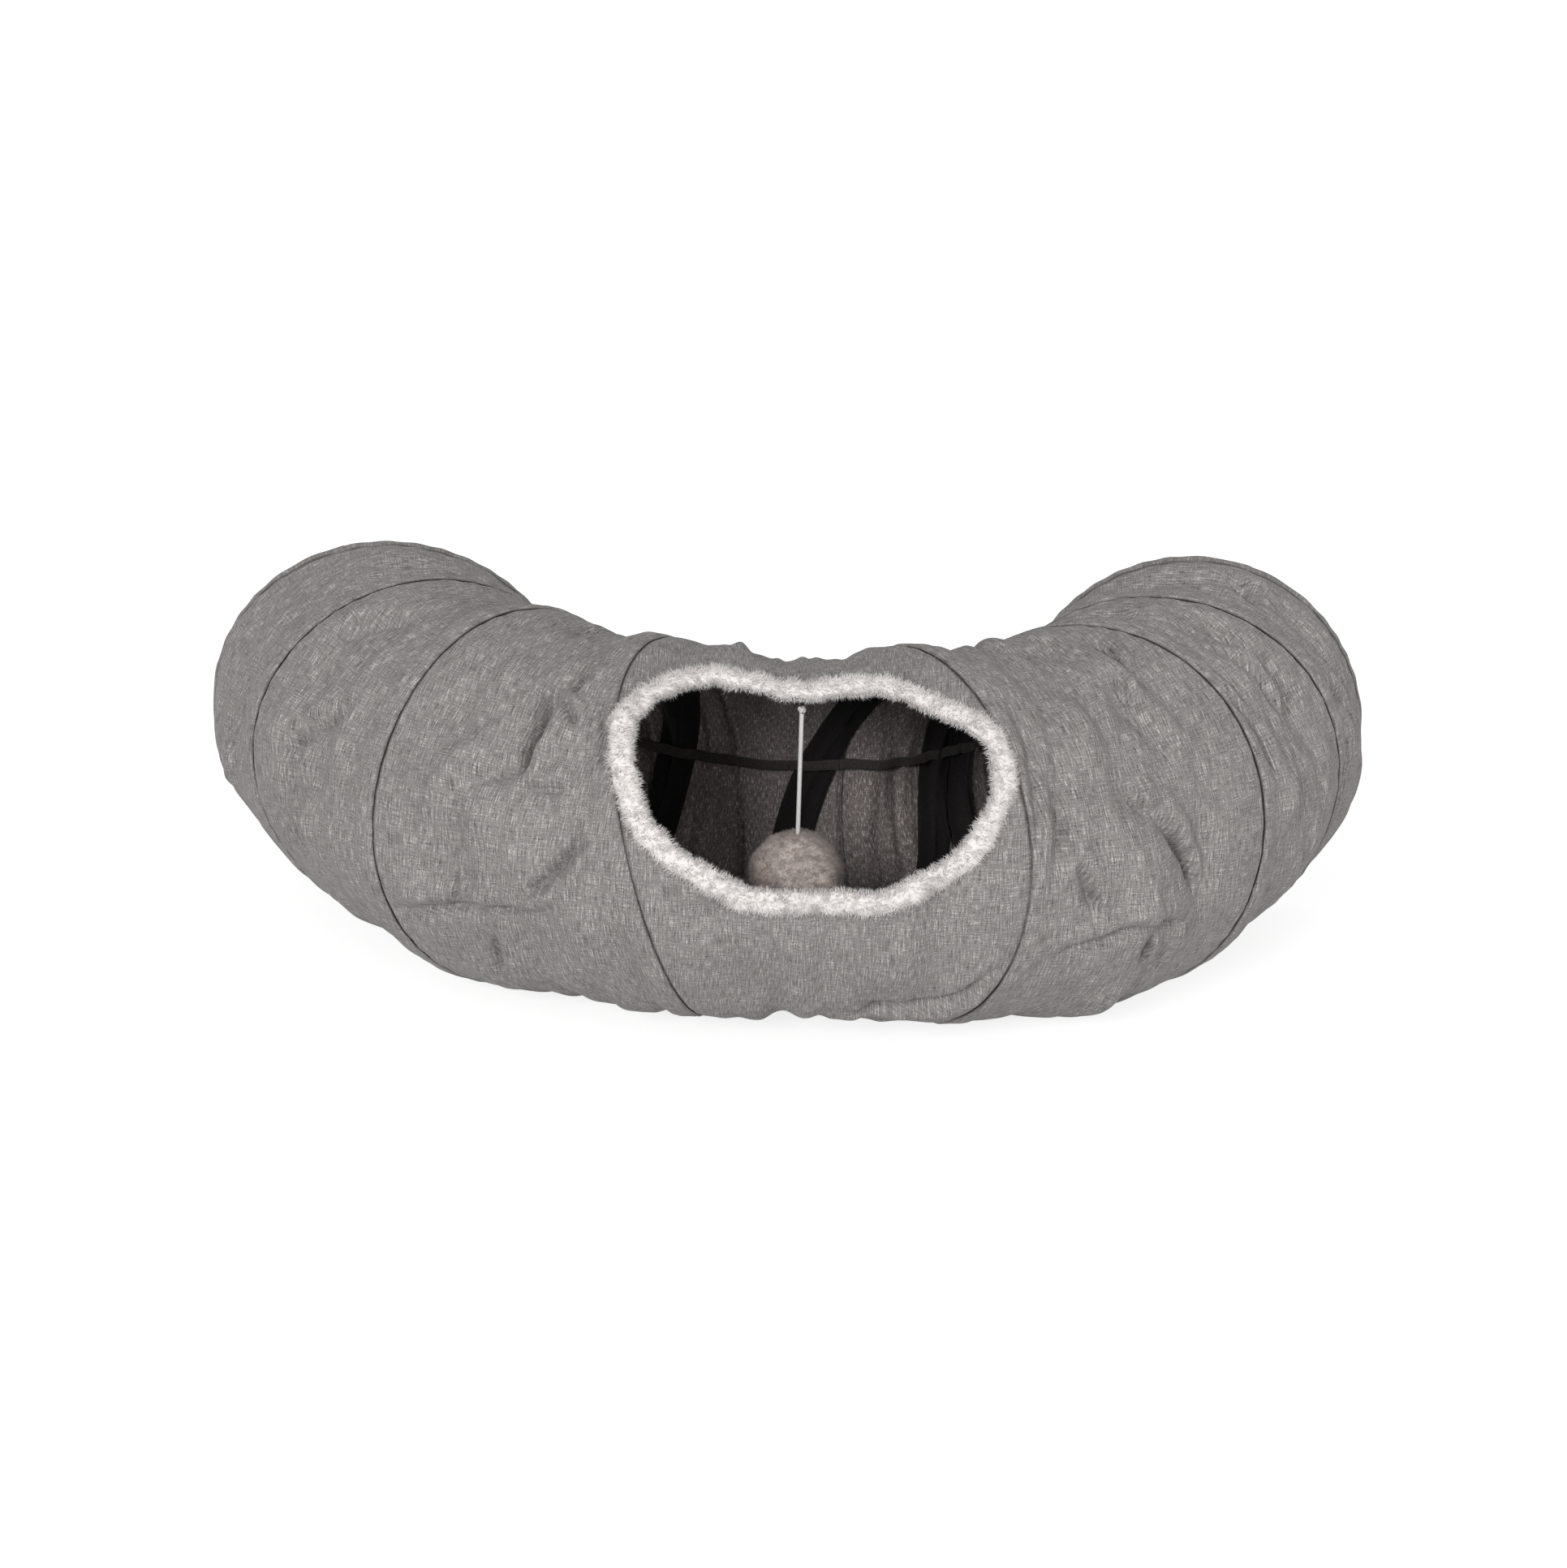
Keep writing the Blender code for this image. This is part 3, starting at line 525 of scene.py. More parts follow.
def band_rise(heading, tube_angle):
    """The casing stands proud on the arm side of each seam between two rings."""
    rise = np.zeros(heading.shape)
    uneven = np.clip(0.55 + 0.45 * waves(tube_points(heading, tube_angle), 0.11, 31), 0, 1.3)
    for ring in RINGS[1:-1]:
        side = -1 if SEAMS[ring][0] < 0 else 1
        distance = side * arc(heading - seam_heading(ring, tube_angle), tube_angle)
        end = 1 - smooth_step(0.6 * BAND_WIDTH, 1.3 * BAND_WIDTH, distance)
        valley = np.exp(-((distance - 1.35 * BAND_WIDTH) / BAND_VALLEY_WIDTH) ** 2)
        rise += BAND_RISE * smooth_step(0.0, BAND_START, distance) * end - BAND_VALLEY * valley * uneven
    return rise


def cloth_radius(heading, tube_angle):
    """Distance from the tube's middle line to the outside of the cloth, laps left out."""
    heading, tube_angle = np.broadcast_arrays(np.asarray(heading, float), np.asarray(tube_angle, float))
    return (TUBE_RADIUS + hoop_swell(heading, tube_angle) - drape_depth(heading, tube_angle)
            + band_rise(heading, tube_angle))


def under_cloth(heading, tube_angle, depth):
    """Points at a depth under the outside of the cloth, kept above the floor."""
    points = tube_points(heading, tube_angle, cloth_radius(heading, tube_angle) - depth)
    points[..., 2] = np.maximum(points[..., 2], np.maximum(depth, 0))
    return points


# Mesh helpers

def add_object(name, data):
    thing = bpy.data.objects.new(name, data)
    bpy.context.scene.collection.objects.link(thing)
    return thing


def link_mesh(name, points, faces, looks, slots=None, normals=None, smooth=True):
    mesh = bpy.data.meshes.new(name)
    rows = [list(map(int, face)) for face in faces]
    mesh.from_pydata(np.asarray(points, float).reshape(-1, 3).tolist(), [], rows)
    for look in looks:
        mesh.materials.append(look)
    if slots is not None:
        mesh.polygons.foreach_set("material_index", np.asarray(slots, np.int32))
    if smooth:
        mesh.shade_smooth()
    if normals is not None:
        mesh.normals_split_custom_set_from_vertices(np.asarray(normals, float).tolist())
    mesh.validate()
    mesh.update()
    return add_object(name, mesh)


def set_weave(thing, places):
    """Stores the cloth's own coordinates, in metres, for each face corner."""
    layer = thing.data.uv_layers.new(name="weave")
    layer.uv.foreach_set("vector", np.asarray(places, np.float32).ravel())


def set_painted_seam_shade(thing, values):
    """Stores how near each point is to a seam's or hem's line, which sets the painted shade there."""
    marks = thing.data.attributes.new("painted_seam_shade", "FLOAT", "POINT")
    marks.data.foreach_set("value", values.astype(np.float32))


def grid_faces(rows, columns):
    """Faces of a grid of points whose last column joins the first, and each face's row and column."""
    row, column = np.meshgrid(np.arange(rows - 1), np.arange(columns), indexing="ij")
    row, column = row.ravel(), column.ravel()
    beside = (column + 1) % columns
    faces = np.stack([row * columns + column, row * columns + beside,
                      (row + 1) * columns + beside, (row + 1) * columns + column], 1)
    return faces, row, column


def end_caps(rows, columns, turned=False):
    """Faces that close both ends of such a grid."""
    first = list(range(columns))
    last = list(range((rows - 1) * columns, rows * columns))
    return [first, last[::-1]] if turned else [first[::-1], last]


def grid_normals(points):
    """Unit normals of such a grid, from its neighbours."""
    around = np.roll(points, -1, 1) - np.roll(points, 1, 1)
    return unit(np.cross(around, np.gradient(points, axis=0)))


def corner_places(weave, row, column):
    """Weave coordinates of the corners of grid faces; the weave has one more column than the mesh."""
    return np.stack([weave[row, column], weave[row, column + 1],
                     weave[row + 1, column + 1], weave[row + 1, column]], 1)


def flat_size(corners):
    """Width and length of a cut piece of cloth, and its area, from its faces on the weave."""
    beside = np.roll(corners, -1, 1)
    area = np.abs((corners[..., 0] * beside[..., 1] - corners[..., 1] * beside[..., 0]).sum(1)).sum() / 2
    size = np.ptp(corners.reshape(-1, 2), axis=0)
    return (float(size[0]), float(size[1])), float(area)


def cloth_shell(name, outside, inside, weave, outward, line, reach):
    """Cloth with a thickness from two grids; outward is a grid of normals; a reach below 1 is cut away."""
    rows, columns = outside.shape[:2]
    faces, row, column = grid_faces(rows, columns)
    kept = reach.ravel()[faces].mean(1) > 1
    faces, row, column = faces[kept], row[kept], column[kept]
    count = rows * columns
    edges = np.concatenate([faces[:, [0, 1]], faces[:, [1, 2]], faces[:, [2, 3]], faces[:, [3, 0]]])
    owners = np.tile(np.arange(len(faces)), 4)
    keys = np.sort(edges, 1)
    codes = keys[:, 0].astype(np.int64) * count + keys[:, 1]
    _, inverse, uses = np.unique(codes, return_inverse=True, return_counts=True)
    border = uses[inverse] == 1
    rim = edges[border]
    rim_faces = np.stack([rim[:, 1], rim[:, 0], rim[:, 0] + count, rim[:, 1] + count], 1)
    all_faces = np.concatenate([faces, faces[:, ::-1] + count, rim_faces])
    slots = np.concatenate([np.zeros(len(faces)), np.ones(len(faces)), np.zeros(len(rim_faces))])
    points = np.concatenate([outside.reshape(-1, 3), inside.reshape(-1, 3)])
    normals = np.concatenate([outward.reshape(-1, 3), -outward.reshape(-1, 3)])
    places = corner_places(weave, row, column)
    rim_places = np.repeat(places[owners[border], :1], 4, axis=1)
    all_places = np.concatenate([places, places[:, ::-1], rim_places])
    used = np.zeros(len(points), bool)
    used[all_faces.ravel()] = True
    fresh = np.cumsum(used) - 1
    looks = [LOOKS["cloth"], LOOKS["lining"]]
    thing = link_mesh(name, points[used], fresh[all_faces], looks, slots, normals[used])
    set_weave(thing, all_places.reshape(-1, 2))
    # Painted seam shade: how strongly each point gets the dark seam colour, outside and lining alike
    set_painted_seam_shade(thing, np.concatenate([line.ravel(), line.ravel()])[used])
    return thing, flat_size(places)


def outward_faces(thing):
    """Turns all faces outward; the loops of the weave map keep their corners."""
    bpy.context.view_layer.objects.active = thing
    bpy.ops.object.select_all(action="DESELECT")
    thing.select_set(True)
    bpy.ops.object.mode_set(mode="EDIT")
    bpy.ops.mesh.select_all(action="SELECT")
    bpy.ops.mesh.normals_make_consistent(inside=False)
    bpy.ops.object.mode_set(mode="OBJECT")


def swept(name, sections, closed_path, look):
    """Skins a row of closed outlines (path steps, sides, 3); an open row gets end caps."""
    steps, sides = sections.shape[:2]
    grid = np.concatenate([sections, sections[:1]]) if closed_path else sections
    faces, row, column = grid_faces(len(grid), sides)
    faces = faces % (steps * sides)
    caps = [] if closed_path else end_caps(steps, sides)
    thing = link_mesh(name, sections, list(faces) + caps, [look])
    along = run_lengths(grid.mean(1))
    around = run_lengths(np.concatenate([sections[0], sections[0][:1]]))
    weave = np.stack(np.meshgrid(along, around, indexing="ij"), -1)
    places = corner_places(weave, row, column).reshape(-1, 2)
    set_weave(thing, np.concatenate([places, np.zeros((len(caps) * sides, 2))]))
    outward_faces(thing)
    return thing


def round_sections(points, diameter, sides):
    """Round outlines square to a path."""
    ahead = unit(np.gradient(points, axis=0))
    side = np.cross(ahead, np.array([0.0, 0.0, 1.0]))
    upright = np.linalg.norm(side, axis=1) < 0.2
    side[upright] = np.cross(ahead[upright], np.array([0.0, 1.0, 0.0]))
    side = unit(side)
    up = np.cross(side, ahead)
    turn = full_turn(sides)
    return (points[:, None] + diameter / 2 * (np.cos(turn)[None, :, None] * side[:, None]
                                              + np.sin(turn)[None, :, None] * up[:, None]))


def closed_sections(points, diameter, sides):
    """Round outlines square to a path that ends where it starts."""
    wrapped_points = np.concatenate([points[-1:], points, points[:1]])
    return round_sections(wrapped_points, diameter, sides)[1:-1]


# Material groups and materials

def feed(tree, sockets, values):
    """Links each named input to the socket given for it, or sets its value."""
    for name, value in values.items():
        if isinstance(value, bpy.types.NodeSocket):
            tree.links.new(value, sockets[name])
        else:
            sockets[name].default_value = value


def add_node(tree, kind, inputs, output=0, **settings):
    """Adds a node and gives one of its outputs."""
    node = tree.nodes.new(kind)
    for name, value in settings.items():
        setattr(node, name, value)
    feed(tree, node.inputs, inputs)
    return node.outputs[output]


def math_node(tree, operation, a, b):
    return add_node(tree, "ShaderNodeMath", {0: a, 1: b}, operation=operation)


def mix_colour(tree, share, a, b):
    return add_node(tree, "ShaderNodeMix", {0: share, 6: a, 7: b}, 2, data_type="RGBA")


def ramp(tree, value, low, high):
    inputs = {"Value": value, "From Min": low, "From Max": high}
    return add_node(tree, "ShaderNodeMapRange", inputs, "Result", interpolation_type="SMOOTHSTEP")


def noise_node(tree, place, scale, detail, roughness=0.5):
    inputs = {"Vector": place, "Scale": scale, "Detail": detail, "Roughness": roughness}
    return add_node(tree, "ShaderNodeTexNoise", inputs, "Fac")


def bump_node(tree, height, distance):
    inputs = {"Height": height, "Distance": distance, "Strength": 1.0}
    return add_node(tree, "ShaderNodeBump", inputs, "Normal")


def scaled_place(tree, place, across, along, up=1.0):
    """A coordinate with each part divided by its own length."""
    lengths = add_node(tree, "ShaderNodeCombineXYZ", {0: across, 1: along, 2: up})
    return add_node(tree, "ShaderNodeVectorMath", {0: place, 1: lengths}, operation="DIVIDE")


def object_place(tree):
    return add_node(tree, "ShaderNodeTexCoord", {}, "Object")


def group(name, inputs, outputs):
    """Empty shader group: inputs have a name, a socket type and a value, outputs a name and a type."""
    made = bpy.data.node_groups.new(name, "ShaderNodeTree")
    for label, kind, value in inputs:
        socket = made.interface.new_socket(label, in_out="INPUT", socket_type=kind)
        if value is not None:
            socket.default_value = value
    for label, kind in outputs:
        made.interface.new_socket(label, in_out="OUTPUT", socket_type=kind)
    return made, made.nodes.new("NodeGroupInput").outputs, made.nodes.new("NodeGroupOutput").inputs


def place_group(tree, made, inputs):
    """Adds a group to a material and gives its outputs."""
    node = tree.nodes.new("ShaderNodeGroup")
    node.node_tree = made
    feed(tree, node.inputs, inputs)
    return node.outputs


def make_thread_group():
    """Crossed slub threads of a melange weave: colour and height from the cloth's own coordinates."""
    made, given, wanted = group("melange_threads", [
        ("Place", "NodeSocketVector", None),
        ("Dark", "NodeSocketColor", (0.1, 0.1, 0.1, 1)),
        ("Middle", "NodeSocketColor", (0.2, 0.2, 0.2, 1)),
        ("Light", "NodeSocketColor", (0.4, 0.4, 0.4, 1)),
        ("Thread Width", "NodeSocketFloat", 0.0009),
        ("Slub Length", "NodeSocketFloat", 0.011),
        ("Warp Share", "NodeSocketFloat", 0.5),
    ], [("Color", "NodeSocketColor"), ("Height", "NodeSocketFloat")])
    place, share = given["Place"], given["Warp Share"]
    width, length = given["Thread Width"], given["Slub Length"]
    warp = noise_node(made, scaled_place(made, place, length, width), 1.0, 2.0, 0.6)
    weft = noise_node(made, scaled_place(made, place, width, length), 1.0, 2.0, 0.6)
    blend = math_node(made, "ADD", math_node(made, "MULTIPLY", warp, share),
                      math_node(made, "MULTIPLY", weft, math_node(made, "SUBTRACT", 1.0, share)))
    speck = noise_node(made, scaled_place(made, place, width, width), 0.8, 1.0)
    both = math_node(made, "ADD", math_node(made, "MULTIPLY", blend, 1 - SPECK_SHARE),
                     math_node(made, "MULTIPLY", speck, SPECK_SHARE))
    colour = mix_colour(made, ramp(made, both, 0.50, 0.34), given["Middle"], given["Dark"])
    colour = mix_colour(made, ramp(made, both, 0.50, 0.66), colour, given["Light"])
    feed(made, wanted, {"Color": colour, "Height": both})
    return made


def make_tone_and_shade_group():
    """Broad uneven tone, as of handled cloth and pile, on the grey cloth also patchy painted shade of soft
    folds: makes a colour lighter and darker in patches.
    """
    made, given, wanted = group("uneven_tone_and_painted_shade", [
        ("Color", "NodeSocketColor", (0.5, 0.5, 0.5, 1)),
        ("Amount", "NodeSocketFloat", 0.1),
        ("Patch Size", "NodeSocketFloat", 0.05),
    ], [("Color", "NodeSocketColor")])
    size = given["Patch Size"]
    patches = noise_node(made, scaled_place(made, object_place(made), size, size, size), 1.0, 3.0)
    swing = math_node(made, "MULTIPLY", given["Amount"], math_node(made, "SUBTRACT", patches, 0.5))
    inputs = {0: given["Color"], "Scale": math_node(made, "ADD", 1.0, swing)}
    feed(made, wanted, {"Color": add_node(made, "ShaderNodeVectorMath", inputs, operation="SCALE")})
    return made


THREADS = make_thread_group()
TONE_AND_SHADE = make_tone_and_shade_group()


def new_material(name):
    made = bpy.data.materials.new(name)
    made.use_nodes = True
    return made, made.node_tree, made.node_tree.nodes["Principled BSDF"].inputs


def woven(name, dark, middle, light, width, length, warp, tone, relief):
    """Woven cloth with slub threads, a broad uneven tone and painted shade along its seams' grooves and
    hems' stitched lines.
    """
    made, tree, surface = new_material(name)
    threads = place_group(tree, THREADS, {
        "Place": add_node(tree, "ShaderNodeUVMap", {}, "UV", uv_map="weave"),
        "Dark": (*dark, 1), "Middle": (*middle, 1), "Light": (*light, 1),
        "Thread Width": width, "Slub Length": length, "Warp Share": warp})
    # Uneven tone, partly painted shade: broad patches lighter and darker in place of fold shading
    toned = place_group(tree, TONE_AND_SHADE, {"Color": threads["Color"], "Amount": tone, "Patch Size": CLOTH_PATCH})
    # Painted shade: the dark seam colour mixed in along each seam's groove and hem's stitched line
    line = add_node(tree, "ShaderNodeAttribute", {}, "Fac", attribute_name="painted_seam_shade")
    shade = math_node(tree, "MULTIPLY", line, SEAM_PAINTED_SHADE_STRENGTH)
    feed(tree, surface, {"Base Color": mix_colour(tree, shade, toned["Color"], SEAM_PAINTED_SHADE_COLOUR),
                         "Roughness": 0.92, "Sheen Weight": 0.08, "Specular IOR Level": LOW_SHINE,
                         "Normal": bump_node(tree, threads["Height"], relief)})
    return made


def plush(name, tip, root_shade, patch, tone):
    """Pile: lighter tips and darker roots in a fine grain, the roots' colour painted shade deep in the
    pile, and a broad uneven tone.
    """
    made, tree, surface = new_material(name)
    grain = noise_node(tree, object_place(tree), 900.0, 2.0)
    # Darker root colour, mixed in by the fine grain: painted shade deep in the pile
    mixed = mix_colour(tree, ramp(tree, grain, 0.3, 0.6), (*root_shade, 1), (*tip, 1))
    toned = place_group(tree, TONE_AND_SHADE, {"Color": mixed, "Amount": tone, "Patch Size": patch})
    feed(tree, surface, {"Base Color": toned["Color"], "Roughness": 0.95, "Sheen Weight": 0.25,
                         "Specular IOR Level": LOW_SHINE, "Normal": bump_node(tree, grain, 0.0006)})
    return made


def drawn_steel(name):
    made, tree, surface = new_material(name)
    grain = noise_node(tree, object_place(tree), 400.0, 3.0)
    roughness = math_node(tree, "ADD", 0.25, math_node(tree, "MULTIPLY", grain, 0.2))
    colour = mix_colour(tree, grain, (0.42, 0.42, 0.43, 1), (0.60, 0.60, 0.60, 1))
    feed(tree, surface, {"Base Color": colour, "Roughness": roughness, "Metallic": 1.0,
                         "Specular IOR Level": LOW_SHINE})
    return made


def floor_material():
    """Pale floor that shows white to the camera and keeps the soft shadow."""
    made, tree, surface = new_material("pale_floor")
    feed(tree, surface, {"Base Color": (0.86, 0.86, 0.86, 1), "Roughness": 0.9})
    glow = add_node(tree, "ShaderNodeEmission", {"Color": (1, 1, 1, 1), "Strength": FLOOR_GLOW})
    rays = tree.nodes.new("ShaderNodeLightPath").outputs
    seen = math_node(tree, "MAXIMUM", rays["Is Camera Ray"], rays["Is Glossy Ray"])
    seen = math_node(tree, "MAXIMUM", seen, rays["Is Transmission Ray"])
    both = {0: math_node(tree, "MULTIPLY", seen, 0.5), 1: tree.nodes["Principled BSDF"].outputs[0], 2: glow}
    shown = add_node(tree, "ShaderNodeMixShader", both)
    tree.links.new(shown, tree.nodes["Material Output"].inputs["Surface"])
    return made


LOOKS = {slot: woven(*values) for slot, values in WOVEN.items()}
LOOKS.update({slot: plush(*values) for slot, values in PLUSH.items()})
LOOKS["wire"] = drawn_steel("drawn_spring_steel")


# Placing pieces in bays and on bodies

def body_of_ring(ring):
    return ring + "_ring"


def fold_place(heading):
    return Vector(tube_points(heading, 180.0, BEND_RADIUS - FOLD_RADIUS))


def blend_bay(thing, bay, side):
    """Works out where a piece of its bay would bend between two rings and bakes its placement into its
    mesh; no bend is made.
    """
    if bay == CENTER_BAY:
        far = RINGS[bay] if side < 0 else RINGS[bay + 1]
        begin, body = 0.0, "center"
    else:
        near, far = RINGS[bay:bay + 2][::-1] if bay < CENTER_BAY else RINGS[bay:bay + 2]
        begin, body = SEAMS[near][0], body_of_ring(near)
    fold_place(begin)
    fold_place(SEAMS[far][0])
    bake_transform(thing)


def fit_in_bay(thing, node, bay, side):
    """A piece that stands for a node of the CAD, which it hides, set in its bay."""
    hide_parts(node)
    blend_bay(thing, bay, side)


def fit_on_body(thing, nodes, body):
    """A piece that stands for nodes of the CAD and moves with one body."""
    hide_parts(*nodes)
    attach(thing, body)


# Cloth

def row_shares(bay):
    """Rows from one seam to the other, close together at the seams; an odd number, one in the middle."""
    width = SEAMS[RINGS[bay + 1]][0] - SEAMS[RINGS[bay]][0]
    between = 2 * int(width * ROWS_PER_DEGREE / 2) + 1
    edge = np.linspace(0, EDGE_SHARE, EDGE_ROWS, endpoint=False)
    return np.concatenate([edge, np.linspace(EDGE_SHARE, 1 - EDGE_SHARE, between), 1 - edge[::-1]])


def station_angles():
    """Tube angles round the cloth, closest together on its front."""
    even = 90.0 - 360.0 * (np.arange(STATIONS) + 0.5) / STATIONS
    return even - FINENESS * sin_deg(even - FINE_ANGLE)


def closed_spline(spots, count):
    """Points at even steps of a smooth closed curve through the spots."""
    spots = np.array(spots, float)
    place = np.arange(count) / count * len(spots)
    near = place.astype(int)
    t = (place - near)[:, None]
    before, a, b, after = (spots[(near + step) % len(spots)] for step in (-1, 0, 1, 2))
    return 0.5 * (2 * a + (b - before) * t + (2 * before - 5 * a + 4 * b - after) * t ** 2
                  + (3 * a - before - 3 * b + after) * t ** 3)


def hole_polar(heading, tube_angle):
    """Direction and distance from the hole's middle, in units of degrees round the tube."""
    across = (heading - HOLE_MIDDLE[0]) * HOLE_STRETCH
    up = wrapped(tube_angle - HOLE_MIDDLE[1])
    return np.arctan2(up, across), np.hypot(across, up)


def hole_distance(heading, tube_angle):
    """Below 1 inside the side hole's middle line, above 1 outside it."""
    edge = closed_spline(HOLE_OUTLINE, 720)
    edge_turn, edge_reach = hole_polar(edge[:, 0], edge[:, 1])
    turn, reach = hole_polar(heading, tube_angle)
    order = np.argsort(edge_turn)
    return reach / np.interp(turn, edge_turn[order], edge_reach[order], period=2 * math.pi)


def lap(heading, tube_angle, bay):
    """Dip of a cloth's edge that runs under its neighbour, and how near each place is to a seam's line,
    which sets the painted shade there.

    The cloth nearer the mouth lies on top; the one nearer the middle runs on beneath it.
    """
    first, last = bay_edges(bay, tube_angle)
    dip = np.zeros(heading.shape)
    line = np.zeros(heading.shape)
    for edge, inward, on_top, at_hem in ((first, 1, bay > CENTER_BAY, bay == 0),
                                         (last, -1, bay < CENTER_BAY, bay == LAST_BAY)):
        distance = inward * arc(heading - edge, tube_angle)
        # Painted shade: a dark line along each seam's groove and each hem's stitched line
        line = np.maximum(line, np.exp(-(distance / (HEM_PAINTED_SHADE_WIDTH if at_hem else SEAM_PAINTED_SHADE_WIDTH)) ** 2))
        if at_hem:
            dip += HEM_DIP * (1 - smooth_step(0.0, HEM_DIP_REACH, distance))
        elif not on_top:
            dip += LAP_DIP * (1 - smooth_step(0.0, LAP_DIP_REACH, distance))
    uneven = 0.7 + 0.3 * waves(tube_points(heading, tube_angle), 0.09, 37)
    return dip, line * np.clip(uneven, 0.35, 1)


def panel_grid(bay, low_share, high_share):
    """Outside, inside, weave and outward grids of a bay's cloth between two shares of its width."""
    angles = station_angles()
    first, last = bay_edges(bay, angles)
    shares = row_shares(bay)
    under = along_heading(LAP_WIDTH, angles)
    begin = first - under * (0 < bay <= CENTER_BAY)
    end = last + under * (CENTER_BAY <= bay < LAST_BAY)
    spread = shares[:, None]
    if bay == CENTER_BAY:
        middle = -begin / (end - begin)
        spread = (middle * 2 * np.minimum(spread, 0.5) + (1 - middle) * 2 * np.maximum(spread - 0.5, 0))
    heading = mix(begin, end, spread)
    tube_angle = np.broadcast_to(angles, heading.shape)
    dip, line = lap(heading, tube_angle, bay)
    outside = tube_points(heading, tube_angle, cloth_radius(heading, tube_angle) - dip)
    outward = grid_normals(outside)
    inside = outside - outward * CLOTH_THICKNESS
    outside[..., 2] = np.maximum(outside[..., 2], 0)
    inside[..., 2] = np.maximum(inside[..., 2], CLOTH_THICKNESS)
    around = np.radians(np.concatenate([angles, angles[:1] - 360])) * TUBE_RADIUS
    wide = np.concatenate([heading, heading[:, :1]], 1)
    grain = (SEAMS[RINGS[bay]][0] + SEAMS[RINGS[bay + 1]][0]) / 2
    along = arc(wide - grain, np.concatenate([angles, angles[:1]]))
    weave = np.stack([along, np.broadcast_to(around, wide.shape)], -1)
    reach = hole_distance(heading, tube_angle) if bay == CENTER_BAY else np.full(heading.shape, FAR)
    kept = (shares >= low_share - 1e-9) & (shares <= high_share + 1e-9)
    return [grid[kept] for grid in (outside, inside, weave, outward, line, reach)]


def make_cloth(bay, side):
    """Cloth of a bay; the center bay's two halves meet at heading 0 and leave the side hole open."""
    ending, low, high = {-1: ("_left", 0.0, 0.5), 0: ("", 0.0, 1.0), 1: ("_right", 0.5, 1.0)}[side]
    thing, cut = cloth_shell(BAY_NAMES[bay] + "_cloth" + ending, *panel_grid(bay, low, high))
    fit_in_bay(thing, BAY_NAMES[bay] + "_panel", bay, side)
    return thing, cut


def make_hem(ring, name):
    """Cuff folded over the end hoop: round at the rim, flat at its stitched line."""
    angles = station_angles()
    half = HEM_DEPTH / 2
    outline = []
    for step in range(HEM_STEPS):
        turn = math.pi * (0.5 + step / (HEM_STEPS - 1))
        outline.append((half + half * math.cos(turn), half - half * math.sin(turn)))
    flare = np.linspace(0, 1, HEM_STEPS)[1:]
    for share, across in zip(flare, mix(half, HEM_WIDTH - SEAT_GAP, flare)):
        outline.append((across, mix(HEM_DEPTH, HEM_INNER_DEPTH, share ** 1.6)))
    for share, across in zip(flare[::-1], mix(half, HEM_WIDTH - SEAT_GAP, flare[::-1])):
        outline.append((across, HEM_PINCH * share ** 3))
    sections = []
    line = []
    for across, depth in outline:
        heading = hoop_heading(ring, angles, across)
        # Painted shade along the hem's stitched line
        line.append(math.exp(-((HEM_WIDTH - across) / (0.5 * HEM_PAINTED_SHADE_WIDTH)) ** 2))
        ripple = HEM_RIPPLE * waves(tube_points(heading, angles), 0.03, 5) * (across / HEM_WIDTH) ** 2
        sections.append(under_cloth(heading, angles, depth + ripple))
    sections = np.array(sections).transpose(1, 0, 2)
    thing = swept(name + "_cloth", sections, True, LOOKS["cloth"])
    set_painted_seam_shade(thing, np.tile(line, STATIONS))
    fit_on_body(thing, [name], body_of_ring(ring))
    return thing


def turn_names(number):
    """Names of the wire pieces of a turn."""
    endings = ("_left", "_right") if number == CENTER_BAY + 1 else ("",)
    return ["wire_turn_%d%s" % (number, ending) for ending in endings]


def make_cloths():
    """Every bay's cloth over its wire, and the hem at each mouth."""
    for bay in range(len(BAY_NAMES)):
        hems = []
        rests = (turn_names(bay) if bay > 0 else []) + turn_names(bay + 1)
        if bay == 0:
            hems = [make_hem(RINGS[0], "left_hem")]
            rests = ["wire_hoop_" + RINGS[0]] + rests
        if bay == LAST_BAY:
            hems = [make_hem(RINGS[-1], "right_hem")]
            rests = rests + ["wire_hoop_" + RINGS[-1]]
        for side in ((-1, 1) if bay == CENTER_BAY else (0,)):
            cloth, (flat, area) = make_cloth(bay, side)


# Wire, tapes and strap

def pass_share(ring, tube_angle):
    """How far the wire has moved on to a ring while it climbs the inner wall, from -90 to -270 degrees."""
    spots = [-90.0, *PASS_ANGLES, -270.0]
    shares = [0.0, *PASS_SHARES[ring], 1.0]
    slopes = [0.0]
    for middle in (1, 2):
        slopes.append((shares[middle + 1] - shares[middle - 1]) / (spots[middle + 1] - spots[middle - 1]))
    slopes.append(0.0)
    result = np.zeros(np.shape(tube_angle))
    for spot in range(3):
        width = spots[spot + 1] - spots[spot]
        t = np.clip((tube_angle - spots[spot]) / width, 0, 1)
        value = ((1 + 2 * t) * (1 - t) ** 2 * shares[spot] + t * (1 - t) ** 2 * width * slopes[spot]
                 + t * t * (3 - 2 * t) * shares[spot + 1] + t * t * (t - 1) * width * slopes[spot + 1])
        result = np.where(tube_angle <= spots[spot], value, result)
    return result


def ring_line(ring, tube_angle):
    """Heading of the wire of a ring: on its seam, or in the middle of its hem."""
    if ring in (RINGS[0], RINGS[-1]):
        return hoop_heading(ring, tube_angle, HEM_WIDTH / 2)
    return seam_heading(ring, tube_angle)


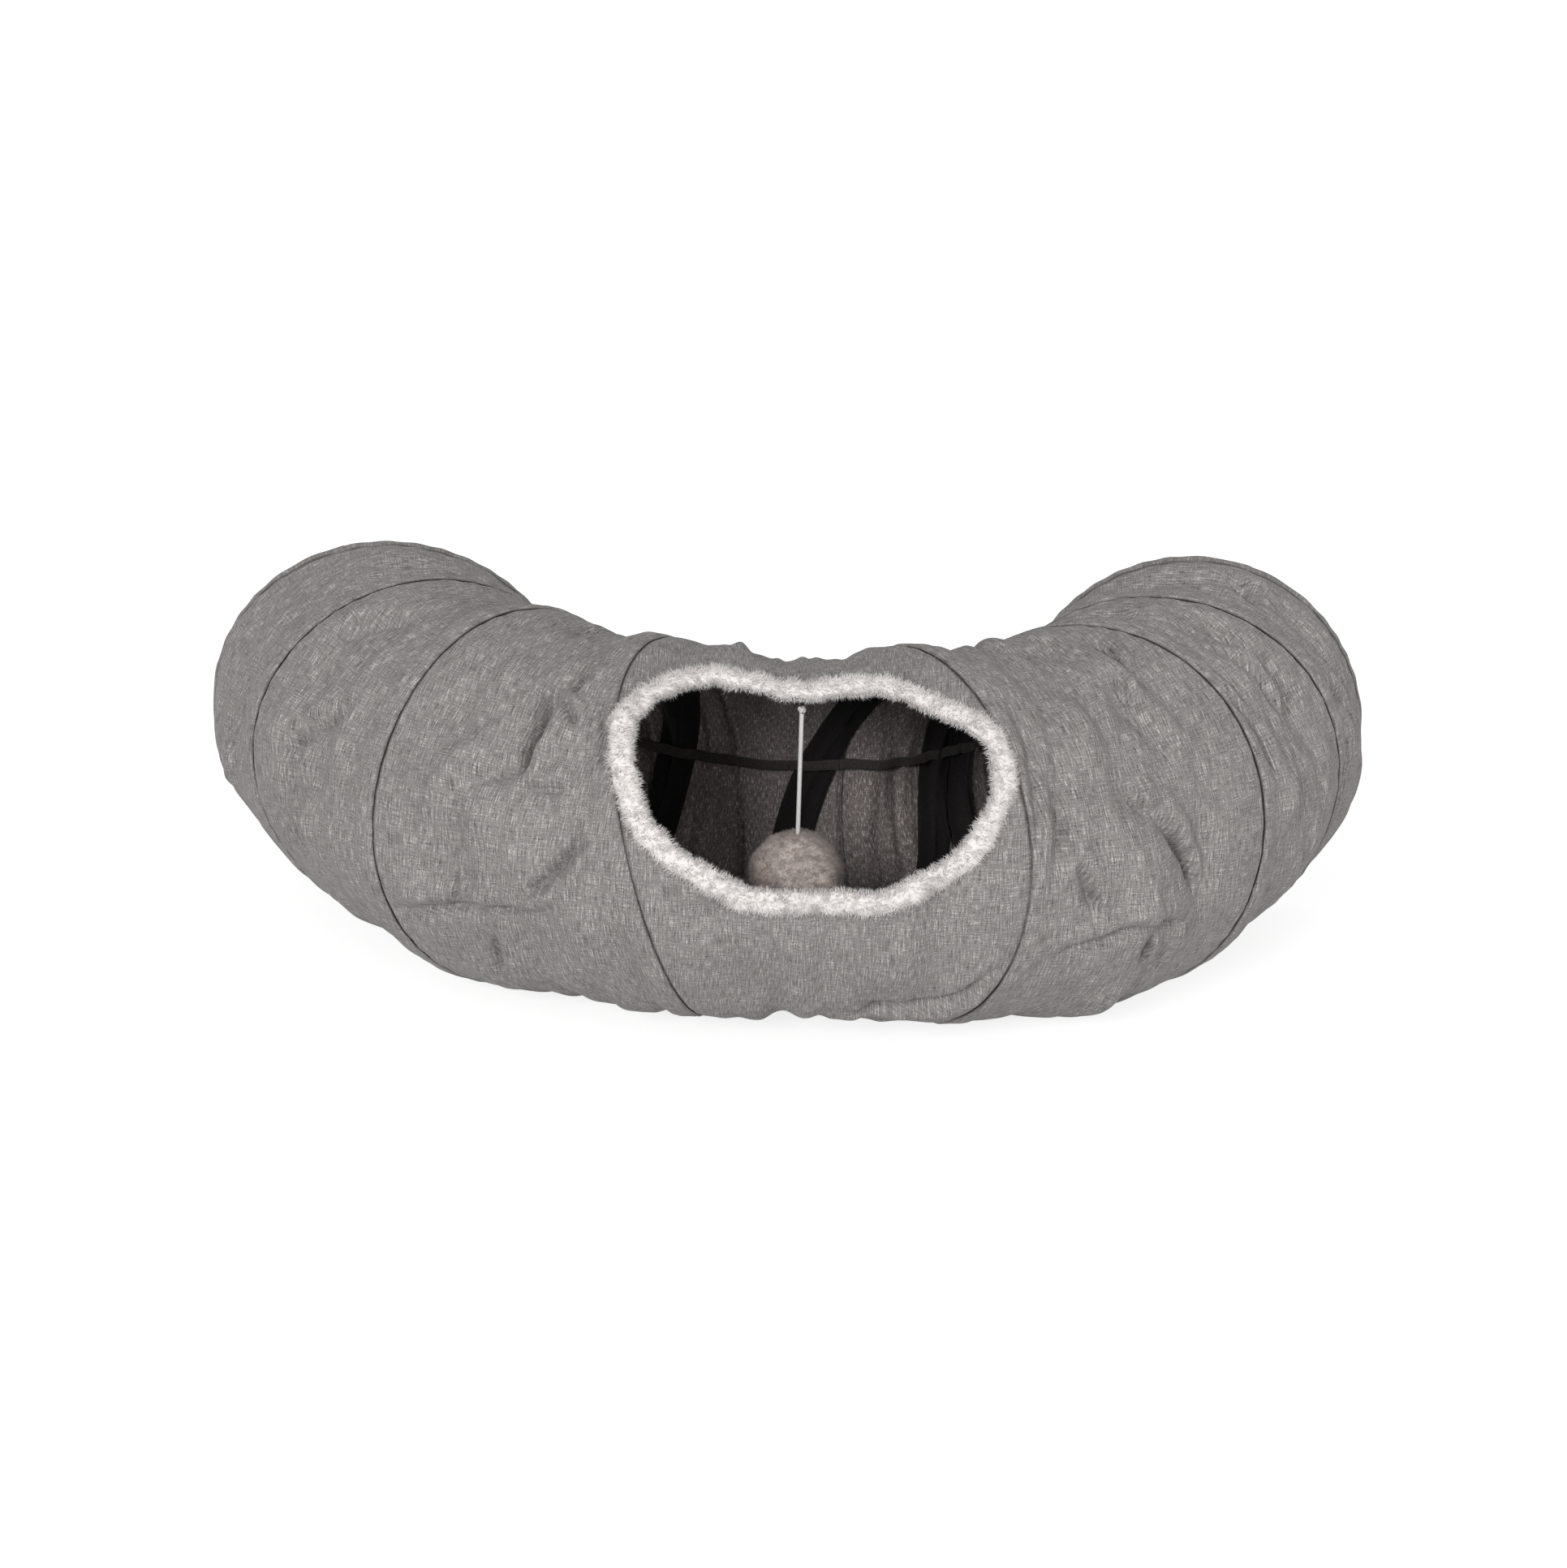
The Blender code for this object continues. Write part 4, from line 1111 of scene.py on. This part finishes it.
def turn_line(number, count):
    """Tube angles and headings of a turn: up the inner wall, over the top and down its front."""
    tube_angle = -90.0 - 360.0 * np.arange(count) / (count - 1)
    share = pass_share(RINGS[number], np.clip(tube_angle, -270, -90))
    before, after = (ring_line(ring, tube_angle) for ring in RINGS[number - 1:number + 1])
    return tube_angle, np.where(tube_angle > -270, mix(before, after, share), after)


def halves(number, heading):
    """The stretches of a turn that bend with one side each: only the turn across the middle has two."""
    if number != CENTER_BAY + 1:
        return [(slice(None), 0, "")]
    cut = int(np.argmax(heading > 0))
    return [(slice(0, cut + 1), -1, "_left"), (slice(cut, None), 1, "_right")]


def lap_room(number, heading, tube_angle):
    """How far a turn stands in from the cloth where it runs beside the lapped edges of a seam."""
    room = np.zeros(heading.shape)
    for ring in RINGS[number - 1:number + 1]:
        distance = arc(heading - seam_heading(ring, tube_angle), tube_angle)
        room = np.maximum(room, LAP_DIP * np.exp(-(distance / LAP_ROOM_REACH) ** 2))
    return room


def make_wire():
    for number in range(1, len(RINGS)):
        tube_angle, heading = turn_line(number, WIRE_STEPS)
        for part, side, ending in halves(number, heading):
            depth = WIRE_DEPTH + lap_room(number, heading[part], tube_angle[part])
            points = under_cloth(heading[part], tube_angle[part], depth)
            sections = round_sections(points, WIRE_DIAMETER, WIRE_SIDES)
            thing = swept("wire_turn_%d%s" % (number, ending), sections, False, LOOKS["wire"])
            fit_in_bay(thing, "spring_wire", number - 1, side)
    for ring in (RINGS[0], RINGS[-1]):
        tube_angle = -90.0 - 360.0 * np.arange(HOOP_STEPS) / HOOP_STEPS
        points = under_cloth(hoop_heading(ring, tube_angle, HEM_DEPTH / 2), tube_angle, HEM_DEPTH / 2)
        sections = closed_sections(points, WIRE_DIAMETER, WIRE_SIDES)
        thing = swept("wire_hoop_" + ring, sections, True, LOOKS["wire"])
        fit_on_body(thing, ["spring_wire"], body_of_ring(ring))


def make_tape(number):
    """Casing tape over a turn of the wire, wide on the inner wall; a crest stands over the wire."""
    ring = RINGS[number]
    begin = TAPE_TRIM if number == 1 else 0
    end = TAPE_STEPS - (TAPE_TRIM + 1 if number == len(BAY_NAMES) else 0)
    tube_angle, heading = (values[begin:end] for values in turn_line(number, TAPE_STEPS))
    half_width = mix(TAPE_FRONT_WIDTH, TAPE_WIDTH, (1 - cos_deg(tube_angle)) / 2) / 2
    even = np.linspace(-1, 1, TAPE_SIDES)
    across = np.sign(even) * np.abs(even) ** 2
    shape = []
    for layer, order in ((0, 1), (TAPE_THICKNESS, -1)):
        for place in across[::order]:
            offset = place * half_width
            beside = heading + along_heading(offset, tube_angle)
            crest = (WIRE_DIAMETER + TAPE_GAP) * np.exp(-(offset / CREST_REACH) ** 2)
            depth = CLOTH_THICKNESS + TAPE_GAP + crest + TAPE_CURL * abs(place) ** 6 + layer
            shape.append(under_cloth(beside, tube_angle, depth + lap_room(number, beside, tube_angle)))
    sections = np.array(shape).transpose(1, 0, 2)
    for part, side, ending in halves(number, heading):
        thing = swept("%s_tape_sewn%s" % (ring, ending), sections[part], False, LOOKS["tape"])
        fit_in_bay(thing, ring + "_tape", number - 1, side)


def make_strap():
    """Narrow webbing along the innermost line, in one length for each bay."""
    heights = (1, 0.5, 0, -0.5, -1)
    corners = [(0, height) for height in heights] + [(1, height) for height in heights[::-1]]
    for bay in range(1, LAST_BAY):
        first, last = bay_edges(bay, 180.0)
        spans = [(first, last, 0, "")]
        if bay == CENTER_BAY:
            spans = [(first, 0.0, -1, "_left"), (0.0, last, 1, "_right")]
        for begin, end, side, ending in spans:
            heading = np.linspace(begin, end, STRAP_STEPS)
            outline = []
            for layer, height in corners:
                angle = STRAP_ANGLE - math.degrees(height * STRAP_WIDTH / 2 / TUBE_RADIUS)
                outline.append(under_cloth(heading, angle, STRAP_DEPTH + layer * STRAP_THICKNESS))
            sections = np.array(outline).transpose(1, 0, 2)
            thing = swept("bend_strap_%s%s" % (BAY_NAMES[bay], ending), sections, False, LOOKS["strap"])
            fit_in_bay(thing, "bend_strap", bay, side)


# Plush edge and toy ball

def tufts(roots, outs, lengths, widths, leans):
    """Tapered curved strands as closed thin cones; returns points and faces."""
    across = unit(np.cross(outs, leans))
    other = np.cross(outs, across)
    points = []
    for level in range(TUFT_LEVELS):
        share = level / TUFT_LEVELS
        middle = roots + outs * (lengths * share)[:, None] + leans * (lengths * share ** 2)[:, None]
        spread = widths * (1 - 0.75 * share) / 2
        for side in range(TUFT_SIDES):
            turn = 2 * math.pi * side / TUFT_SIDES
            points.append(middle + across * (spread * math.cos(turn))[:, None]
                          + other * (0.5 * spread * math.sin(turn))[:, None])
    points.append(roots + outs * lengths[:, None] + leans * lengths[:, None])
    points = np.stack(points, 1)
    tip = TUFT_LEVELS * TUFT_SIDES
    faces = []
    for level in range(TUFT_LEVELS):
        for side in range(TUFT_SIDES):
            here = level * TUFT_SIDES + side
            beside = level * TUFT_SIDES + (side + 1) % TUFT_SIDES
            if level == TUFT_LEVELS - 1:
                faces.append((here, beside, tip))
                continue
            faces.append((here, beside, beside + TUFT_SIDES))
            faces.append((here, beside + TUFT_SIDES, here + TUFT_SIDES))
    faces.append(tuple(range(TUFT_SIDES))[::-1])
    faces = np.array(faces)[None] + (np.arange(len(roots)) * points.shape[1])[:, None, None]
    return points.reshape(-1, 3), faces.reshape(-1, 3)


def strand_leans(points, outs, size, seed, clumped, stray):
    """Lean of each strand square to its direction: swells that its clump shares and a random part."""
    swells = np.stack([waves(points, size, seed + axis) for axis in range(3)], -1)
    lean = clumped * swells + stray * DRAW.normal(size=points.shape)
    return lean - outs * (lean * outs).sum(1)[:, None]


def link_plush(name, body, turned, strands, look):
    """A grid with its end caps, and the strands that stand on it, as one mesh."""
    rows, columns = body.shape[:2]
    points, faces = strands
    body_faces = list(grid_faces(rows, columns)[0]) + end_caps(rows, columns, turned)
    thing = link_mesh(name, np.concatenate([body.reshape(-1, 3), points]),
                      body_faces + list(faces + rows * columns), [look])
    outward_faces(thing)
    return thing


def even_steps(places, count):
    """Places at even lengths along a closed line of (heading, tube angle)."""
    closed = np.concatenate([places, places[:1]])
    run = run_lengths(tube_points(closed[:, 0], closed[:, 1]))
    wanted = run[-1] * (np.arange(count) + 0.5) / count
    return np.stack([np.interp(wanted, run, closed[:, axis]) for axis in range(2)], 1)


def trim_rings():
    """Line of the hole's rim, the rings of the plush edge's body round it, and their outward directions."""
    heading, angle = even_steps(closed_spline(HOLE_OUTLINE, 4 * TRIM_STEPS), TRIM_STEPS).T
    here = under_cloth(heading, angle, CLOTH_THICKNESS / 2)
    along = unit(np.roll(here, -1, 0) - np.roll(here, 1, 0))
    across = unit(np.cross(along, under_cloth(heading, angle, -0.01) - here))
    outward = np.cross(across, along)
    turn = full_turn(TRIM_SIDES)
    ring = (here[:, None] + across[:, None] * (TRIM_WIDTH / 2 * np.cos(turn))[None, :, None]
            + outward[:, None] * (TRIM_THICKNESS / 2 * np.sin(turn))[None, :, None])
    push = unit(ring - here[:, None])
    ring = ring + push * (TRIM_SWELL * waves(ring, 0.020, 3) - TRIM_INSET)[..., None]
    return here, ring, push


def spread_over(grid, place, spin):
    """Values of a closed grid of rings between its points."""
    low, side_low = place.astype(int), spin.astype(int)
    high, side_high = (low + 1) % TRIM_STEPS, (side_low + 1) % TRIM_SIDES
    f, g = (place - low)[:, None], (spin - side_low)[:, None]
    return mix(mix(grid[low, side_low], grid[high, side_low], f),
               mix(grid[low, side_high], grid[high, side_high], f), g)


def make_trim():
    """Plush edge: a soft body round the hole's rim under thousands of tufts, in two halves."""
    here, ring, push = trim_rings()
    place = DRAW.uniform(0, TRIM_STEPS, TUFT_COUNT)
    spin = DRAW.uniform(0, TRIM_SIDES, TUFT_COUNT)
    roots = spread_over(ring, place, spin)
    out = unit(spread_over(push, place, spin))
    lean = strand_leans(roots, out, CLUMP_SIZE, 60, CLUMP_LEAN, STRAY_LEAN)
    lengths = TUFT_LENGTH * DRAW.uniform(0.55, 1.0, TUFT_COUNT)
    widths = TUFT_WIDTH * DRAW.uniform(0.7, 1.25, TUFT_COUNT)
    roots = roots - out * ROOT_DEPTH
    for side, ending in ((-1, "left"), (1, "right")):
        mine = roots[:, 0] * side > 0
        strands = tufts(roots[mine], out[mine], lengths[mine], widths[mine], lean[mine])
        steps = np.nonzero(here[:, 0] * side > -TRIM_OVERLAP)[0]
        gap = int(np.argmax(np.diff(np.concatenate([steps, steps[:1] + TRIM_STEPS])) > 1)) + 1
        steps = np.roll(steps, -gap) if gap < len(steps) else steps
        beyond = np.clip(-side * here[steps, 0] / TRIM_OVERLAP, 0, 1)[:, None, None]
        body = mix(ring[steps], here[steps][:, None], NEST_SHARE * beyond)
        thing = link_plush("hole_trim_plush_" + ending, body, True, strands, LOOKS["plush"])
        fit_in_bay(thing, "hole_trim", CENTER_BAY, side)


def even_directions(count):
    """Directions spread evenly over a sphere."""
    index = np.arange(count) + 0.5
    height = 1 - 2 * index / count
    turn = math.pi * (1 + math.sqrt(5)) * index
    flat = np.sqrt(1 - height ** 2)
    return np.stack([flat * np.cos(turn), flat * np.sin(turn), height], 1)


def make_ball():
    """Round plush ball with short pile and a dimple where the elastic enters."""
    low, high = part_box("ball_cover")
    center = np.array((low + high) / 2)
    polar = math.pi * (np.arange(BALL_ROWS) + 0.5) / BALL_ROWS
    turn = full_turn(BALL_SIDES)
    height = np.broadcast_to(np.cos(polar)[:, None], (BALL_ROWS, BALL_SIDES))
    flat = np.sin(polar)[:, None]
    directions = np.stack([flat * np.cos(turn), flat * np.sin(turn), height], -1)
    radius = BALL_RADIUS + BALL_SWELL * waves(directions, SWELL_SIZE, 8)
    dimple = BALL_DIMPLE * np.exp(-(polar / DIMPLE_WIDTH) ** 2)
    skin = center + directions * (radius - dimple[:, None])[..., None]
    out = even_directions(HAIR_COUNT)
    roots = center + out * (BALL_RADIUS - HAIR_ROOT_DEPTH + BALL_SWELL * waves(out, SWELL_SIZE, 8))[:, None]
    lean = strand_leans(out, out, HAIR_CLUMP_SIZE, 80, HAIR_CLUMP_LEAN, HAIR_STRAY_LEAN)
    lengths = HAIR_LENGTH * DRAW.uniform(0.6, 1.0, HAIR_COUNT)
    widths = HAIR_WIDTH * DRAW.uniform(0.7, 1.2, HAIR_COUNT)
    strands = tufts(roots, out * HAIR_LIFT, lengths, widths, lean)
    thing = link_plush("ball_plush", skin, False, strands, LOOKS["ball"])
    fit_on_body(thing, ["ball_cover", "ball_filling"], "ball")


def make_cord():
    """Elastic from its knot straight down into the ball."""
    low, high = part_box("elastic_cord")
    middle = (low + high) / 2
    heights = np.linspace(high.z + CORD_IN_KNOT, low.z - CORD_IN_BALL, CORD_STEPS)
    points = np.stack([np.full(CORD_STEPS, middle.x), np.full(CORD_STEPS, middle.y), heights], 1)
    thing = swept("elastic_cord_braid", round_sections(points, CORD_DIAMETER, 12), False, LOOKS["elastic"])
    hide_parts("elastic_cord")
    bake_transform(thing)


def make_knot():
    """Overhand knot of the elastic, drawn tight under its tab."""
    low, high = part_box("cord_knot")
    middle = (low + high) / 2
    reach = (min(high.x - low.x, high.y - low.y) - CORD_DIAMETER) / 2
    turn = full_turn(KNOT_STEPS)
    points = np.stack([middle.x + reach * (np.sin(turn) + 2 * np.sin(2 * turn)) / 3,
                       middle.y + reach * (np.cos(turn) - 2 * np.cos(2 * turn)) / 3,
                       middle.z - KNOT_HEIGHT * np.sin(3 * turn)], 1)
    sections = closed_sections(points, CORD_DIAMETER * KNOT_TIGHTNESS, 10)
    thing = swept("cord_knot_tied", sections, True, LOOKS["elastic"])
    fit_on_body(thing, ["cord_knot"], "cord_knot")


def dress_small_nodes():
    """CAD nodes whose shape is right keep it and get these looks."""
    for node, look in (("left_wire_sleeve", "wire"), ("right_wire_sleeve", "wire"), ("cord_tab", "tape")):
        mesh = frame["nodes"][node].data
        mesh.materials.clear()
        mesh.materials.append(LOOKS[look])


# Stage

def make_stage():
    corners = [(x, y, FLOOR_HEIGHT) for x, y in ((-1, -1), (1, -1), (1, 1), (-1, 1))]
    corners = [(x * FLOOR_REACH, y * FLOOR_REACH, z) for x, y, z in corners]
    link_mesh("floor", corners, [(0, 1, 2, 3)], [floor_material()], smooth=False)
    world = bpy.data.worlds.new("soft_white")
    bpy.context.scene.world = world
    world.use_nodes = True
    tree = world.node_tree
    seen = add_node(tree, "ShaderNodeLightPath", {}, "Is Camera Ray")
    level = math_node(tree, "ADD", SKY_LEVEL, math_node(tree, "MULTIPLY", seen, 1 - SKY_LEVEL))
    feed(tree, tree.nodes["Background"].inputs, {"Color": (1, 1, 1, 1), "Strength": level})
    for name, place, spread, power in LAMPS:
        lamp = bpy.data.lights.new(name, "SUN")
        lamp.energy = power
        lamp.angle = math.radians(spread)
        thing = add_object(name, lamp)
        thing.location = place
        thing.rotation_euler = (-Vector(place)).to_track_quat("-Z", "Y").to_euler()


def make_camera():
    camera = bpy.data.cameras.new("camera")
    camera.sensor_width = SENSOR_WIDTH
    camera.lens = CAMERA_LENS
    camera.clip_end = 100
    thing = add_object("camera", camera)
    elevation = math.radians(CAMERA_ELEVATION)
    back = Vector((0, -math.cos(elevation), math.sin(elevation)))
    thing.location = Vector(CAMERA_TARGET) + back * CAMERA_DISTANCE
    level = (-back).to_track_quat("-Z", "Y")
    thing.rotation_euler = (level @ Quaternion((0, 0, 1), math.radians(CAMERA_ROLL))).to_euler()
    bpy.context.scene.camera = thing


make_camera()
make_wire()
make_cloths()
for tape_number in range(1, len(RINGS)):
    make_tape(tape_number)
make_strap()
make_trim()
make_cord()
make_knot()
make_ball()
dress_small_nodes()
make_stage()

bpy.context.scene.view_settings.view_transform = "Standard"
